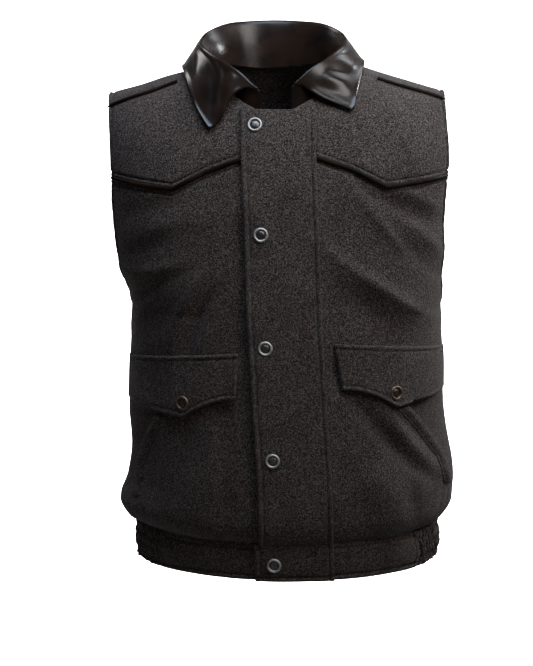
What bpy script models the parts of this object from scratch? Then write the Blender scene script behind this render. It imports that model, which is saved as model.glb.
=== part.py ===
"""Western wool vest, worn and hollow, cut and sewn from named panels.

Metres, +Z up. The front faces -Y and the wearer's left is +X. The origin is the middle of the shoulder
ridge, level with the points where the shoulders meet the neck.

A place on the cloth has two numbers. "across" runs from -1 at the right edge to 1 at the left edge. "walk"
runs up the front as plain height, then over the shoulder ridge and down the back.
"""

import math

import bmesh
import bpy
import numpy as np

# Thickness of the cloth and leather, and the clearances between pieces
WALL = 0.0025
DOUBLE_WALL = 0.0030
LEATHER = 0.0024
SEAM_GAP = 0.0003
LIFT = 0.0008

# Heights that the cut is laid out on
HEM_Z = -0.625
BAND_Z = -0.577
UNDERARM_Z = -0.295
ROLL_Z = -0.170
BACK_SEAM_Z = -0.150

# Shoulder: the ridge falls away from the neck, and the chest rolls over towards it
RIDGE_TOP = 0.027
RIDGE_SLOPE = 0.296
RIDGE_ROUND = 0.030
ROLL_LENGTH = 0.190
ROLL_SQUARE = 2.2
RIDGE_WALK = ROLL_Z + ROLL_LENGTH * math.pi / 2
SHOULDER_SEAM_WALK = ROLL_Z + ROLL_LENGTH * math.radians(72)
SHOULDER_SEAM_DROP = {-1: 0.032, 1: 0.008}

# Level sections from hem to shoulder: half-widths from the leaning centre line, depths from the ridge plane,
# the depth at the side or armhole edge, how far round to the side the cloth wraps, and how square the section
# is
SECTION_COLUMNS = (
    *("z", "lean", "right", "left"),
    *("front", "front_edge", "back", "back_edge", "wrap", "square"),
)
SECTION_ROWS = (
    (-0.625, 0.0210, 0.2045, 0.1820, 0.1475, 0.000, 0.1180, 0.000, 1.00, 2.05),
    (-0.603, 0.0205, 0.2085, 0.1875, 0.1505, 0.000, 0.1205, 0.000, 1.00, 2.05),
    (-0.577, 0.0200, 0.2060, 0.1845, 0.1515, 0.000, 0.1210, 0.000, 1.00, 2.05),
    (-0.566, 0.0195, 0.2200, 0.1955, 0.1570, 0.000, 0.1260, 0.000, 1.00, 2.08),
    (-0.550, 0.0190, 0.2265, 0.2045, 0.1605, 0.000, 0.1300, 0.000, 1.00, 2.10),
    (-0.518, 0.0180, 0.2160, 0.2075, 0.1610, 0.000, 0.1320, 0.000, 1.00, 2.10),
    (-0.475, 0.0160, 0.2090, 0.2035, 0.1580, 0.000, 0.1300, 0.000, 1.00, 2.10),
    (-0.420, 0.0120, 0.2070, 0.1990, 0.1535, 0.000, 0.1270, 0.000, 1.00, 2.10),
    (-0.350, 0.0080, 0.2005, 0.2015, 0.1495, 0.000, 0.1250, 0.000, 1.00, 2.15),
    (-0.295, 0.0045, 0.1945, 0.2020, 0.1460, 0.000, 0.1250, 0.000, 1.00, 2.20),
    (-0.2935, 0.0045, 0.1946, 0.2020, 0.1459, 0.0095, 0.1250, 0.0095, 0.978, 2.20),
    (-0.290, 0.0044, 0.1950, 0.2020, 0.1458, 0.0165, 0.1250, 0.0165, 0.960, 2.20),
    (-0.283, 0.0042, 0.1957, 0.2020, 0.1454, 0.0245, 0.1250, 0.0240, 0.940, 2.20),
    (-0.265, 0.0035, 0.1990, 0.2020, 0.1445, 0.036, 0.1255, 0.034, 0.91, 2.22),
    (-0.240, 0.0025, 0.2055, 0.2025, 0.1425, 0.046, 0.1260, 0.043, 0.87, 2.25),
    (-0.170, 0.0000, 0.2110, 0.2060, 0.1375, 0.056, 0.1250, 0.052, 0.82, 2.30),
    (-0.100, -0.0030, 0.2095, 0.2135, 0.1330, 0.060, 0.1200, 0.055, 0.80, 2.30),
    (0.000, -0.0040, 0.2130, 0.2115, 0.1300, 0.060, 0.1160, 0.055, 0.80, 2.30),
)
SECTIONS = dict(zip(SECTION_COLUMNS, np.array(SECTION_ROWS).T))

# Largest folds, as soft ridges (or troughs where the height is negative): the middle, the half-length, the
# half-width, the tilt from level, and the height
FOLD_COLUMNS = ("side", "x", "z", "length", "width", "tilt", "height")
FOLD_ROWS = (
    ("front", 0.118, -0.262, 0.075, 0.020, -37.0, 0.0060),
    ("front", 0.110, -0.296, 0.050, 0.020, -32.0, -0.0040),
    ("front", -0.150, -0.270, 0.055, 0.022, 80.0, 0.0040),
    ("front", -0.085, -0.500, 0.050, 0.026, 70.0, 0.0035),
    ("front", 0.130, -0.520, 0.050, 0.024, -75.0, 0.0035),
    ("back", -0.075, -0.500, 0.070, 0.028, 82.0, 0.0045),
    ("back", 0.060, -0.490, 0.075, 0.028, -80.0, 0.0045),
    ("back", 0.120, -0.265, 0.070, 0.024, 35.0, 0.0045),
    ("back", -0.125, -0.270, 0.065, 0.024, -38.0, 0.0045),
)

# Neck opening in plan, and the pointed seam under each front yoke as distance from the centre line and height
NECK_X = -0.006
NECK_Y = -0.0235
NECK_WIDE = 0.080
NECK_DEEP = 0.0815
YOKE_TIP = (0.131, -0.137)
YOKE_SEAM = (
    *((0.0, -0.082), (0.047, -0.1005), (0.089, -0.1155)),
    *(YOKE_TIP, (0.170, -0.1330), (0.212, -0.1275)),
)
YOKE_SHIFT = {-1: -0.0030, 1: 0.0}

# Piping rolls
PIPING_WIDE = 0.0050
PIPING_HIGH = 0.0028
SHOULDER_PIPING_START = 0.124

# Placket down the front, its tab on the waistband, its snaps as distance from the centre line and height, and
# the snaps' turned profile as radius and height
PLACKET_HALF = 0.0455
PLACKET_TOP_Z = -0.0445
TAB_RIGHT = 0.0515
SNAP_ROWS = (
    *((-0.0280, -0.0630), (-0.0250, -0.1930), (-0.0250, -0.3310)),
    *((-0.0250, -0.4690), (-0.0280, -0.6025)),
)
SNAP_SIDES = 14
SNAP_PROFILE = (
    (0.0091, 0.0000),
    (0.0089, 0.0014),
    (0.0078, 0.0025),
    (0.0064, 0.0022),
    (0.0054, 0.0010),
    (0.0030, 0.0021),
)
SNAP_CROWN = 0.0025

# Pocket flap as distance from the centre line and height, and how hollow its lower edge is on either side of
# the point, where 1 is straight
FLAP_TOP_INNER = (0.0585, -0.332)
FLAP_TOP_OUTER_Z = -0.352
FLAP_LOW_INNER = (0.0650, -0.3895)
FLAP_TIP = (0.1300, -0.4160)
FLAP_LOW_OUTER_Z = -0.407
FLAP_OUTER_ACROSS = 0.90
FLAP_SNAP_RISE = 0.0187
FLAP_COLUMNS = (5, 9)
FLAP_SHIFT = {-1: -0.006, 1: 0.006}
FLAP_HOLLOW = 1.9
FLAP_SWEEP = {-1: 1.15, 1: 1.7}

# Slanted hand pocket: heights of its opening edge, their distances from the centre line, and the welt beside it
WELT_HEIGHTS = np.array((-0.4185, -0.449, -0.488, -0.528))
WELT_OFFSETS = {-1: (0.1680, 0.1840, 0.1990, 0.2055), 1: (0.1490, 0.1695, 0.1900, 0.1995)}
WELT_ACROSS = 0.072

# Waistband: where the elastic side sections start, and their gathers
ELASTIC_START = 0.60
GATHERS = 26
GATHER_HIGH = 0.0026
GATHER_SWELL = (0.6, 1.0, 1.0, 0.5)

# Collar stations from the right front end round the back to the left front end: the angle round the neck
# where the stand is sewn, the height and outward spread of the roll, and the angle, reach from the neck's
# middle and lift of the leaf's edge
COLLAR_COLUMNS = ("sewn", "roll_z", "spread", "leaf", "reach", "lift")
COLLAR_ROWS = (
    (14.0, -0.0190, 0.000, 42.0, 0.1120, 0.0045),
    (21.0, -0.0120, 0.001, 45.5, 0.1160, 0.0050),
    (32.0, 0.0010, 0.002, 53.0, 0.1165, 0.0055),
    (48.0, 0.0120, 0.004, 64.0, 0.1150, 0.0060),
    (66.0, 0.0220, 0.008, 79.0, 0.1130, 0.0060),
    (90.0, 0.0340, 0.014, 99.0, 0.1160, 0.0060),
    (115.0, 0.0470, 0.015, 121.0, 0.1140, 0.0060),
    (145.0, 0.0580, 0.010, 148.0, 0.1110, 0.0060),
    (180.0, 0.0600, 0.008, 180.0, 0.1090, 0.0060),
    (215.0, 0.0580, 0.009, 212.0, 0.1110, 0.0060),
    (245.0, 0.0480, 0.010, 239.0, 0.1130, 0.0060),
    (270.0, 0.0360, 0.008, 262.0, 0.1100, 0.0060),
    (294.0, 0.0260, 0.005, 282.0, 0.1080, 0.0060),
    (312.0, 0.0160, 0.003, 294.0, 0.1105, 0.0060),
    (328.0, 0.0060, 0.002, 302.0, 0.1145, 0.0055),
    (339.0, -0.0060, 0.001, 305.5, 0.1168, 0.0050),
    (346.0, -0.0140, 0.000, 308.0, 0.1155, 0.0045),
)
COLLAR = dict(zip(COLLAR_COLUMNS, np.array(COLLAR_ROWS).T))

# Hollow cut of the leaves' front edges: the step from foot to edge, and the stations cut away at the right
# and the left end, which fade out over a few stations
COLLAR_CUT_ROWS = (
    *((0.0, 0.0, 0.0), (3.5, 0.0, 0.0), (4.0, 0.95, 0.5), (4.5, 1.2, 0.25)),
    *((5.0, 1.0, 0.0), (5.5, 0.15, 0.0), (6.0, 0.0, 0.0)),
)
COLLAR_CUT = np.array(COLLAR_CUT_ROWS).T
COLLAR_CUT_FADE = 3.0
COLLAR_FINE = 193
COLLAR_STATIONS = 33
COLLAR_STEPS = 13
COLLAR_INSET = 0.0045
COLLAR_DROP = 0.0035
ROLL_OUT = 0.0075

# Grids of the panels: heights of the rows at the side, columns, and how the back yoke's columns fan from the
# neck
SIDES = {"right": -1, "left": 1}
SIDE_ROWS = (BAND_Z, -0.570, -0.560, -0.545, -0.520, -0.485, -0.445, -0.405, -0.365, -0.325, UNDERARM_Z)
FRONT_ROWS = SIDE_ROWS + (-0.2932, -0.289, -0.282, -0.268, -0.242, -0.205, -0.165, -0.129)
BACK_ROWS = SIDE_ROWS + (-0.2932, -0.289, -0.282, -0.268, -0.242, -0.200, BACK_SEAM_Z)
NECK_COLUMNS = 5
CHEST_COLUMNS = 5
EDGE_COLUMNS = 8
YOKE_ROWS = 9
BACK_YOKE_ROWS = 11
BACK_NECK_COLUMNS = 13
BACK_SPREAD = 0.36
BACK_BEND = 2.5
BAND_ROWS = 4

# Colour, roughness and metallic value of each material
MATERIALS = {
    "wool": ((0.050, 0.048, 0.050), 0.95, 0.0),
    "leather": ((0.016, 0.012, 0.010), 0.42, 0.0),
    "snap_metal": ((0.62, 0.61, 0.60), 0.28, 1.0),
    "flap_snap_metal": ((0.30, 0.24, 0.17), 0.35, 1.0),
}


def unit(vectors):
    return vectors / np.linalg.norm(vectors, axis=-1, keepdims=True)


def smooth(at, knots, values):
    """Cubic curve through the knots that never swings past them."""
    rise = np.diff(values) / np.diff(knots)
    slope = np.concatenate([rise[:1], np.zeros(len(values) - 2), rise[-1:]])
    same_way = rise[1:] * rise[:-1] > 0
    both = rise[1:] + rise[:-1]
    slope[1:-1][same_way] = (2 * rise[1:] * rise[:-1])[same_way] / both[same_way]
    first = np.clip(np.searchsorted(knots, at) - 1, 0, len(knots) - 2)
    span = knots[first + 1] - knots[first]
    part = np.clip((at - knots[first]) / span, 0.0, 1.0)
    ease = part * part * (3 - 2 * part)
    leave = part * (1 - part) ** 2 * span * slope[first]
    arrive = part * part * (1 - part) * span * slope[first + 1]
    return values[first] + (values[first + 1] - values[first]) * ease + leave - arrive


def section(column, row):
    return smooth(row, SECTIONS["z"], SECTIONS[column])


def ridge_height(x):
    return RIDGE_TOP - RIDGE_SLOPE * (np.hypot(x, RIDGE_ROUND) - RIDGE_ROUND)


def row_at(level):
    """Height to look up in the section table, with the turn over the shoulder at that level."""
    turn = np.clip((level - ROLL_Z) / ROLL_LENGTH, 0.0, math.pi / 2)
    return np.minimum(level, ROLL_Z) - ROLL_Z * np.sin(turn), turn


def half_width(across, row):
    return np.where(across < 0, section("right", row), section("left", row))


def depth_at(across, row, back):
    square = section("square", row)
    half_turn = section("wrap", row) * math.pi / 2
    middle = np.where(back, section("back", row), section("front", row))
    edge = np.where(back, section("back_edge", row), section("front_edge", row))
    end = np.clip(np.cos(half_turn), 0, 1) ** (2 / square)
    bow = np.clip(np.cos(np.abs(across) * half_turn), 0, 1) ** (2 / square)
    return edge + (middle - edge) * (bow - end) / (1 - end)


def plain_points(across, walk):
    """Outer face of the cloth before any fold."""
    back = walk > RIDGE_WALK
    level = np.where(back, 2 * RIDGE_WALK - walk, walk)
    row, turn = row_at(level)
    half_turn = section("wrap", row) * math.pi / 2
    reach = np.sin(np.abs(across) * half_turn) / np.sin(half_turn)
    side = np.sign(across) * half_width(across, row) * reach ** (2 / section("square", row))
    x = section("lean", row) + side
    roll = np.clip(np.cos(turn), 0, 1) ** (2 / ROLL_SQUARE)
    y = np.where(back, 1, -1) * depth_at(across, row, back) * roll
    z = np.where(level < ROLL_Z, level, ROLL_Z + (ridge_height(x) - ROLL_Z) * np.sin(turn))
    return np.stack([x, y, z], axis=-1)


def fold_height(points, walk):
    back = walk > RIDGE_WALK
    total = np.zeros(points.shape[:-1])
    for row in FOLD_ROWS:
        fold = dict(zip(FOLD_COLUMNS, row))
        tilt = math.radians(fold["tilt"])
        over = points[..., 0] - fold["x"]
        up = points[..., 2] - fold["z"]
        along = (over * math.cos(tilt) + up * math.sin(tilt)) / fold["length"]
        beside = (up * math.cos(tilt) - over * math.sin(tilt)) / fold["width"]
        on_side = back == (fold["side"] == "back")
        total += on_side * fold["height"] * np.exp(-along**2 - beside**2)
    return total


def cloth(across, walk):
    """Points on the outer face, with the normals that walls are thickened along."""
    across, walk = np.broadcast_arrays(np.asarray(across, float), np.asarray(walk, float))
    step = 0.001
    left = plain_points(np.clip(across + step, -1, 1), walk)
    right = plain_points(np.clip(across - step, -1, 1), walk)
    onward = plain_points(across, walk + step) - plain_points(across, walk - step)
    normals = unit(np.cross(left - right, onward))
    points = plain_points(across, walk)
    return points + normals * fold_height(points, walk)[..., None], normals


def across_at(offset, row):
    """Place across the cloth of a distance from the leaning centre line."""
    half_turn = section("wrap", row) * math.pi / 2
    part = np.clip(np.abs(offset) / half_width(offset, row), 0, 1) ** (section("square", row) / 2)
    return np.sign(offset) * np.arcsin(part * np.sin(half_turn)) / half_turn


def place(offset, z):
    """Place on the front of a distance from the centre line and a height."""
    offset, z = np.broadcast_arrays(np.asarray(offset, float), np.asarray(z, float))
    part = (z - ROLL_Z) / (ridge_height(offset + section("lean", z)) - ROLL_Z)
    walk = np.where(z < ROLL_Z, z, ROLL_Z + ROLL_LENGTH * np.arcsin(np.clip(part, 0, 1)))
    return np.stack([across_at(offset, row_at(walk)[0]), walk], axis=-1)


def place_above(x, y):
    """Place on the shoulders of a point of the plan view, found by repeated correction."""
    back = np.asarray(y) > 0
    turn = np.full(np.shape(x), 1.0)
    for _ in range(25):
        row = ROLL_Z - ROLL_Z * np.sin(turn)
        across = across_at(x - section("lean", row), row)
        part = np.clip(np.abs(y) / depth_at(across, row, back), 0, 1)
        turn = np.arccos(part ** (ROLL_SQUARE / 2))
    walk = ROLL_Z + ROLL_LENGTH * turn
    return np.stack([across, np.where(back, 2 * RIDGE_WALK - walk, walk)], axis=-1)


def neck_plan(angle, wide=NECK_WIDE, deep=NECK_DEEP):
    """Plan point of the neck opening at an angle in degrees, 0 at the front and 90 at the wearer's left."""
    turn = np.radians(angle)
    return NECK_X + wide * np.sin(turn), NECK_Y - deep * np.cos(turn)


def neck_corner(side):
    """Angle round the neck where the shoulder seam of one side meets it."""
    low, high = 30.0, 85.0
    for _ in range(40):
        middle = (low + high) / 2
        below = place_above(*neck_plan(side * middle))[1] < SHOULDER_SEAM_WALK
        low, high = (middle, high) if below else (low, middle)
    return side * (low + high) / 2


def shoulder_places(across):
    """Places along the forward shoulder seam of one side, which drops towards the armhole."""
    side = int(np.sign(across[0]))
    corner = abs(place_above(*neck_plan(neck_corner(side)))[0])
    outward = (np.abs(across) - corner) / (1 - corner)
    return np.stack([across, SHOULDER_SEAM_WALK - SHOULDER_SEAM_DROP[side] * outward], axis=-1)


def seam_places(across):
    """Places along the pointed yoke seam of one side."""
    side = int(np.sign(across[-1]))
    offsets, heights = np.array(YOKE_SEAM).T
    z = np.full(len(across), YOKE_TIP[1])
    for _ in range(6):
        row = row_at(place(0.1, z)[..., 1])[0]
        half_turn = section("wrap", row) * math.pi / 2
        reach = np.sin(np.abs(across) * half_turn) / np.sin(half_turn)
        offset = np.sign(across) * half_width(across, row) * reach ** (2 / section("square", row))
        shift = YOKE_SHIFT[side] * np.clip(np.abs(offset) / PLACKET_HALF, 0, 1)
        z = np.interp(np.abs(offset), offsets, heights) + shift
    return np.stack([across, place(offset, z)[..., 1]], axis=-1)


def between(start, end, parts, bend=1.0):
    """Grid of places from one edge to another. A bend over 1 takes the sideways part of the way early."""
    parts = np.asarray(parts)[:, None]
    across = start[:, 0] + (end[:, 0] - start[:, 0]) * (1 - (1 - parts) ** bend)
    walk = start[:, 1] + (end[:, 1] - start[:, 1]) * parts
    return np.stack([across, walk], axis=-1)


def inset(grid):
    """The grid with its edges drawn in by half a seam gap."""
    grid = grid.copy()
    for edge, beside in ((0, 1), (-1, -2)):
        grid[edge] += SEAM_GAP / 2 * unit(grid[beside] - grid[edge])
        grid[:, edge] += SEAM_GAP / 2 * unit(grid[:, beside] - grid[:, edge])
    return grid


def finish(name, points, faces, material):
    mesh = bpy.data.meshes.new(name)
    mesh.from_pydata([tuple(point) for point in points], [], faces)
    work = bmesh.new()
    work.from_mesh(mesh)
    bmesh.ops.recalc_face_normals(work, faces=work.faces)
    work.to_mesh(mesh)
    work.free()
    mesh.shade_smooth()
    mesh.set_sharp_from_angle(angle=math.radians(50))
    mesh.materials.append(bpy.data.materials[material])
    node = bpy.data.objects.new(name, mesh)
    node.parent = bpy.data.objects["wool_vest"]
    bpy.context.collection.objects.link(node)


def shell(name, outer, inner, material):
    """Closed wall between two grids of points."""
    rows, columns = outer.shape[:2]
    number = np.arange(rows * columns).reshape(rows, columns)
    faces = []
    for first, turned in ((0, False), (rows * columns, True)):
        ids = number + first
        corners = (ids[:-1, :-1], ids[:-1, 1:], ids[1:, 1:], ids[1:, :-1])
        faces += np.stack(corners[::-1] if turned else corners, axis=-1).reshape(-1, 4).tolist()
    rim = np.concatenate([number[0, :-1], number[:-1, -1], number[-1, :0:-1], number[:0:-1, 0]])
    after = np.roll(rim, -1)
    faces += np.stack([rim, rim + rows * columns, after + rows * columns, after], axis=-1).tolist()
    finish(name, np.concatenate([outer.reshape(-1, 3), inner.reshape(-1, 3)]), faces, material)


def panel(name, places, low=-WALL, high=0.0, material="wool"):
    """Wall over a grid of places, from one distance off the cloth's face to another."""
    points, normals = cloth(places[..., 0], places[..., 1])
    high = np.broadcast_to(high, points.shape[:2])[..., None]
    shell(name, inset(points + normals * high), inset(points + normals * low), material)


def overlay(name, places, material="wool"):
    """A doubled piece that lies on the cloth."""
    panel(name, places, LIFT, LIFT + DOUBLE_WALL, material)


def side_columns(side):
    """Columns of one front: even steps to the neck corner, to the yoke's point and to the edge."""
    corner = abs(place_above(*neck_plan(neck_corner(side)))[0])
    tip = abs(place(side * YOKE_TIP[0], YOKE_TIP[1])[0])
    inner = np.linspace(0, corner, NECK_COLUMNS)
    chest = np.linspace(corner, tip, CHEST_COLUMNS)[1:]
    return side * np.concatenate([inner, chest, np.linspace(tip, 1, EDGE_COLUMNS)[1:]])


def back_walk(z):
    """Walk of a height on the back."""
    return 2 * RIDGE_WALK - place(0.1, z)[..., 1]


def row_parts(heights):
    heights = np.array(heights)
    return (heights - heights[0]) / (heights[-1] - heights[0])


def level_places(across, z):
    return np.stack([across, np.full(len(across), z)], axis=-1)


def build_fronts():
    for name, side in SIDES.items():
        columns = side_columns(side)
        seam = seam_places(columns)
        body = between(level_places(columns, BAND_Z), seam, row_parts(FRONT_ROWS))
        panel(f"front_body_{name}", body)
        corner = neck_corner(side)
        neck = place_above(*neck_plan(np.linspace(0, corner, NECK_COLUMNS)))
        neck[0, 0] = 0.0
        shoulder = shoulder_places(columns[NECK_COLUMNS:])
        top = np.concatenate([neck, shoulder])
        panel(f"front_yoke_{name}", between(seam, top, np.linspace(0, 1, YOKE_ROWS)))


def back_edges():
    """The back yoke's front and neck edge, and its back seam, column for column."""
    right, left = side_columns(-1)[NECK_COLUMNS:][::-1], side_columns(1)[NECK_COLUMNS:]
    start, stop = neck_corner(-1), neck_corner(1) - 360
    neck = place_above(*neck_plan(np.linspace(start, stop, BACK_NECK_COLUMNS)))
    edge = np.concatenate([shoulder_places(right), neck, shoulder_places(left)])
    outward = np.linspace(BACK_SPREAD, 1, len(left) + 1)[1:]
    middle = np.linspace(-BACK_SPREAD, BACK_SPREAD, BACK_NECK_COLUMNS)
    across = np.concatenate([-outward[::-1], middle, outward])
    return edge, level_places(across, back_walk(BACK_SEAM_Z))


def build_back():
    edge, seam = back_edges()
    panel("back_yoke", between(edge, seam, np.linspace(0, 1, BACK_YOKE_ROWS), BACK_BEND))
    hem = level_places(seam[:, 0], back_walk(BAND_Z))
    panel("back_body", between(hem, seam, row_parts(BACK_ROWS)))


def build_waistband():
    rows = np.linspace(HEM_Z, BAND_Z, BAND_ROWS)
    for name, side in SIDES.items():
        front = np.linspace(0, side * ELASTIC_START, 8)
        panel(f"waistband_front_{name}", np.stack(np.meshgrid(front, rows), axis=-1), -DOUBLE_WALL)
        round_side = np.linspace(ELASTIC_START - 1, 1 - ELASTIC_START, 2 * GATHERS + 1)
        turn, heights = np.meshgrid(round_side, rows)
        walk = np.where(turn > 0, 2 * RIDGE_WALK - heights, heights)
        crests = np.arange(2 * GATHERS + 1) % 2
        raised = GATHER_HIGH * crests * np.array(GATHER_SWELL)[:, None]
        places = np.stack([side * (1 - np.abs(turn)), walk], axis=-1)
        panel(f"waistband_side_{name}", places, -DOUBLE_WALL, raised)
    back = np.linspace(-ELASTIC_START, ELASTIC_START, 15)
    panel("waistband_back", np.stack(np.meshgrid(back, 2 * RIDGE_WALK - rows), axis=-1), -DOUBLE_WALL)


def build_piping(name, centre):
    """Half-round leather roll along a line of places."""
    profile = ((-0.5, 0.0), (-0.42, 0.62), (0.0, 1.0), (0.42, 0.62), (0.5, 0.0))
    rings = []
    for beside, rise in profile:
        points, normals = cloth(centre[:, 0], centre[:, 1] + beside * PIPING_WIDE)
        rings.append(points + normals * (LIFT + rise * PIPING_HIGH))
    rings = np.stack(rings, axis=1)
    rings[0] += SEAM_GAP * unit(rings[1] - rings[0])
    rings[-1] += SEAM_GAP * unit(rings[-2] - rings[-1])
    count, around = rings.shape[:2]
    number = np.arange(count * around).reshape(count, around)
    after = np.roll(number, -1, axis=1)
    faces = np.stack([number[:-1], after[:-1], after[1:], number[1:]], axis=-1).reshape(-1, 4).tolist()
    faces += [number[0, ::-1].tolist(), number[-1].tolist()]
    finish(name, rings.reshape(-1, 3), faces, "leather")


def build_pipings():
    for name, side in SIDES.items():
        columns = side_columns(side)
        placket_edge = place(side * (PLACKET_HALF + LIFT), YOKE_SEAM[1][1])[0]
        visible = columns[np.abs(columns) > abs(placket_edge) + 0.02]
        build_piping(f"yoke_piping_{name}", seam_places(np.concatenate([[placket_edge], visible])))
        start = place(side * SHOULDER_PIPING_START, -0.01)[0]
        outer = columns[np.abs(columns) > abs(start) + 0.02]
        line = np.concatenate([[start], outer])
        build_piping(f"shoulder_piping_{name}", shoulder_places(line))


def build_placket():
    """The placket takes the fronts' own rows, so that it follows them where they tuck in at the waistband."""
    offsets = np.linspace(-PLACKET_HALF, PLACKET_HALF, 6)
    body_rows = BAND_Z + row_parts(FRONT_ROWS) * (YOKE_SEAM[0][1] - BAND_Z)
    heights = np.concatenate([body_rows, np.linspace(YOKE_SEAM[0][1], PLACKET_TOP_Z, 4)[1:]])
    overlay("placket", place(*np.meshgrid(offsets, heights)))
    tab = np.linspace(-TAB_RIGHT, PLACKET_HALF, 5)
    overlay("placket_band", place(*np.meshgrid(tab, np.linspace(HEM_Z, BAND_Z, BAND_ROWS))))


def build_flap(name, side):
    """Pointed pocket flap, with a column of its grid on the point."""
    shift = FLAP_SHIFT[side]
    top_inner = place(side * FLAP_TOP_INNER[0], FLAP_TOP_INNER[1] + shift)
    top_outer = np.array([side * FLAP_OUTER_ACROSS, FLAP_TOP_OUTER_Z + shift])
    low_inner = place(side * FLAP_LOW_INNER[0], FLAP_LOW_INNER[1] + shift)
    tip = place(side * FLAP_TIP[0], FLAP_TIP[1] + shift)
    low_outer = np.array([side * FLAP_OUTER_ACROSS, FLAP_LOW_OUTER_Z + shift])
    inward = np.linspace(0, 1, FLAP_COLUMNS[0])
    outward = np.linspace(0, 1, FLAP_COLUMNS[1])[1:]
    to_tip = np.stack([inward, inward**FLAP_HOLLOW], axis=-1)
    from_tip = np.stack([outward, 1 - (1 - outward) ** FLAP_SWEEP[side]], axis=-1)
    low = np.concatenate([low_inner + (tip - low_inner) * to_tip, tip + (low_outer - tip) * from_tip])
    part = (low[:, :1] - low_inner[0]) / (low_outer[0] - low_inner[0])
    top = top_inner + (top_outer - top_inner) * part
    overlay(f"pocket_flap_{name}", between(top, low, np.linspace(0, 1, 6)))
    snap_z = FLAP_TIP[1] + shift + FLAP_SNAP_RISE
    build_snap(f"flap_snap_{name}", side * FLAP_TIP[0], snap_z, "flap_snap_metal")


def build_welt(name, side):
    z = np.linspace(WELT_HEIGHTS[0], WELT_HEIGHTS[-1], 9) + FLAP_SHIFT[side]
    edge = place(side * np.interp(FLAP_SHIFT[side] - z, -WELT_HEIGHTS, WELT_OFFSETS[side]), z)
    inner = edge - np.array([side * WELT_ACROSS, 0.0])
    overlay(f"pocket_welt_{name}", between(inner, edge, (0.0, 0.5, 1.0)))


def build_snap(name, offset, z, material):
    """Ring snap turned about the cloth's normal, on a doubled piece."""
    across, walk = place(offset, z)
    point, normal = cloth(across, walk)
    base = point + normal * (LIFT + DOUBLE_WALL + SEAM_GAP)
    side = unit(np.cross([0.0, 0.0, 1.0], normal))
    up = np.cross(normal, side)
    turns = np.linspace(0, 2 * math.pi, SNAP_SIDES, endpoint=False)
    spoke = np.cos(turns)[:, None] * side + np.sin(turns)[:, None] * up
    rings = [base + radius * spoke + height * normal for radius, height in SNAP_PROFILE]
    points = np.concatenate(rings + [[base + SNAP_CROWN * normal]])
    number = np.arange(len(SNAP_PROFILE) * SNAP_SIDES).reshape(-1, SNAP_SIDES)
    after = np.roll(number, -1, axis=1)
    faces = np.stack([number[:-1], after[:-1], after[1:], number[1:]], axis=-1).reshape(-1, 4).tolist()
    faces += [[a, b, len(points) - 1] for a, b in zip(number[-1].tolist(), after[-1].tolist())]
    faces.append(number[0, ::-1].tolist())
    finish(name, points, faces, material)


def build_collar():
    """Stand, roll and fall of the leather collar in one wall, swept round the neck."""
    stations = np.linspace(0, len(COLLAR_ROWS) - 1, COLLAR_FINE)
    knots = np.arange(float(len(COLLAR_ROWS)))
    at = {name: smooth(stations, knots, values) for name, values in COLLAR.items()}
    foot, _ = cloth(*place_above(*neck_plan(-at["sewn"])).T)
    outward = unit(np.stack([foot[:, 0] - NECK_X, foot[:, 1] - NECK_Y, np.zeros(len(foot))], axis=-1))
    foot = foot - outward * COLLAR_INSET - np.array([0, 0, COLLAR_DROP])
    edge_plan = neck_plan(-at["leaf"], at["reach"], at["reach"])
    edge, lifted = cloth(*place_above(*edge_plan).T)
    edge = edge + lifted * at["lift"][:, None]
    toward = unit((edge - foot) * np.array([1.0, 1.0, 0.0]))
    crown = foot * np.array([1.0, 1.0, 0.0]) + outward * at["spread"][:, None]
    crown[:, 2] = at["roll_z"]
    knees = (
        foot,
        foot + (crown - foot) * 0.55 - toward * 0.0005,
        crown - [0, 0, 0.0050] + toward * 0.0005,
        crown + toward * ROLL_OUT * 0.55,
        crown - [0, 0, 0.0050] + toward * ROLL_OUT * 1.25,
        crown - [0, 0, 0.0040] + toward * ROLL_OUT + (edge - crown) * 0.45,
        edge,
    )
    steps = np.linspace(0, len(knees) - 1, COLLAR_STEPS)
    grid = cut_ends(smooth_path(np.stack(knees, axis=1), steps), stations, steps)
    normals = unit(np.cross(np.gradient(grid, axis=1), np.gradient(grid, axis=0)))
    shell("collar", grid + normals * LEATHER / 2, grid - normals * LEATHER / 2, "leather")


def smooth_path(path, at):
    """Rounded curve through the knees of every station."""
    last = path.shape[1] - 1
    first = np.clip(at.astype(int), 0, last - 1)
    part = (at - first)[None, :, None]
    before = path[:, np.maximum(first - 1, 0)]
    start, stop = path[:, first], path[:, first + 1]
    after = path[:, np.minimum(first + 2, last)]
    leave, arrive = (stop - before) / 2, (after - start) / 2
    ease = part * part * (3 - 2 * part)
    return start + (stop - start) * ease + leave * part * (1 - part) ** 2 - arrive * part**2 * (1 - part)


def cut_ends(fine, stations, steps):
    """The collar's grid, with the leaves' front edges cut hollow."""
    last = stations[-1]
    even = np.linspace(0, last, COLLAR_STATIONS)
    from_right = np.clip(1 - even / COLLAR_CUT_FADE, 0, 1)
    from_left = np.clip(1 - (last - even) / COLLAR_CUT_FADE, 0, 1)
    grid = np.empty((COLLAR_STATIONS, len(steps), 3))
    for column, step in enumerate(steps):
        right, left = (smooth(step, COLLAR_CUT[0], amounts) for amounts in COLLAR_CUT[1:])
        at = even + right * from_right - left * from_left
        for axis in range(3):
            grid[:, column, axis] = np.interp(at, stations, fine[:, column, axis])
    return grid


def build_materials():
    for name, (colour, roughness, metallic) in MATERIALS.items():
        material = bpy.data.materials.new(name)
        material.use_nodes = True
        shader = material.node_tree.nodes["Principled BSDF"]
        shader.inputs["Base Color"].default_value = (*colour, 1.0)
        shader.inputs["Roughness"].default_value = roughness
        shader.inputs["Metallic"].default_value = metallic


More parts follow.
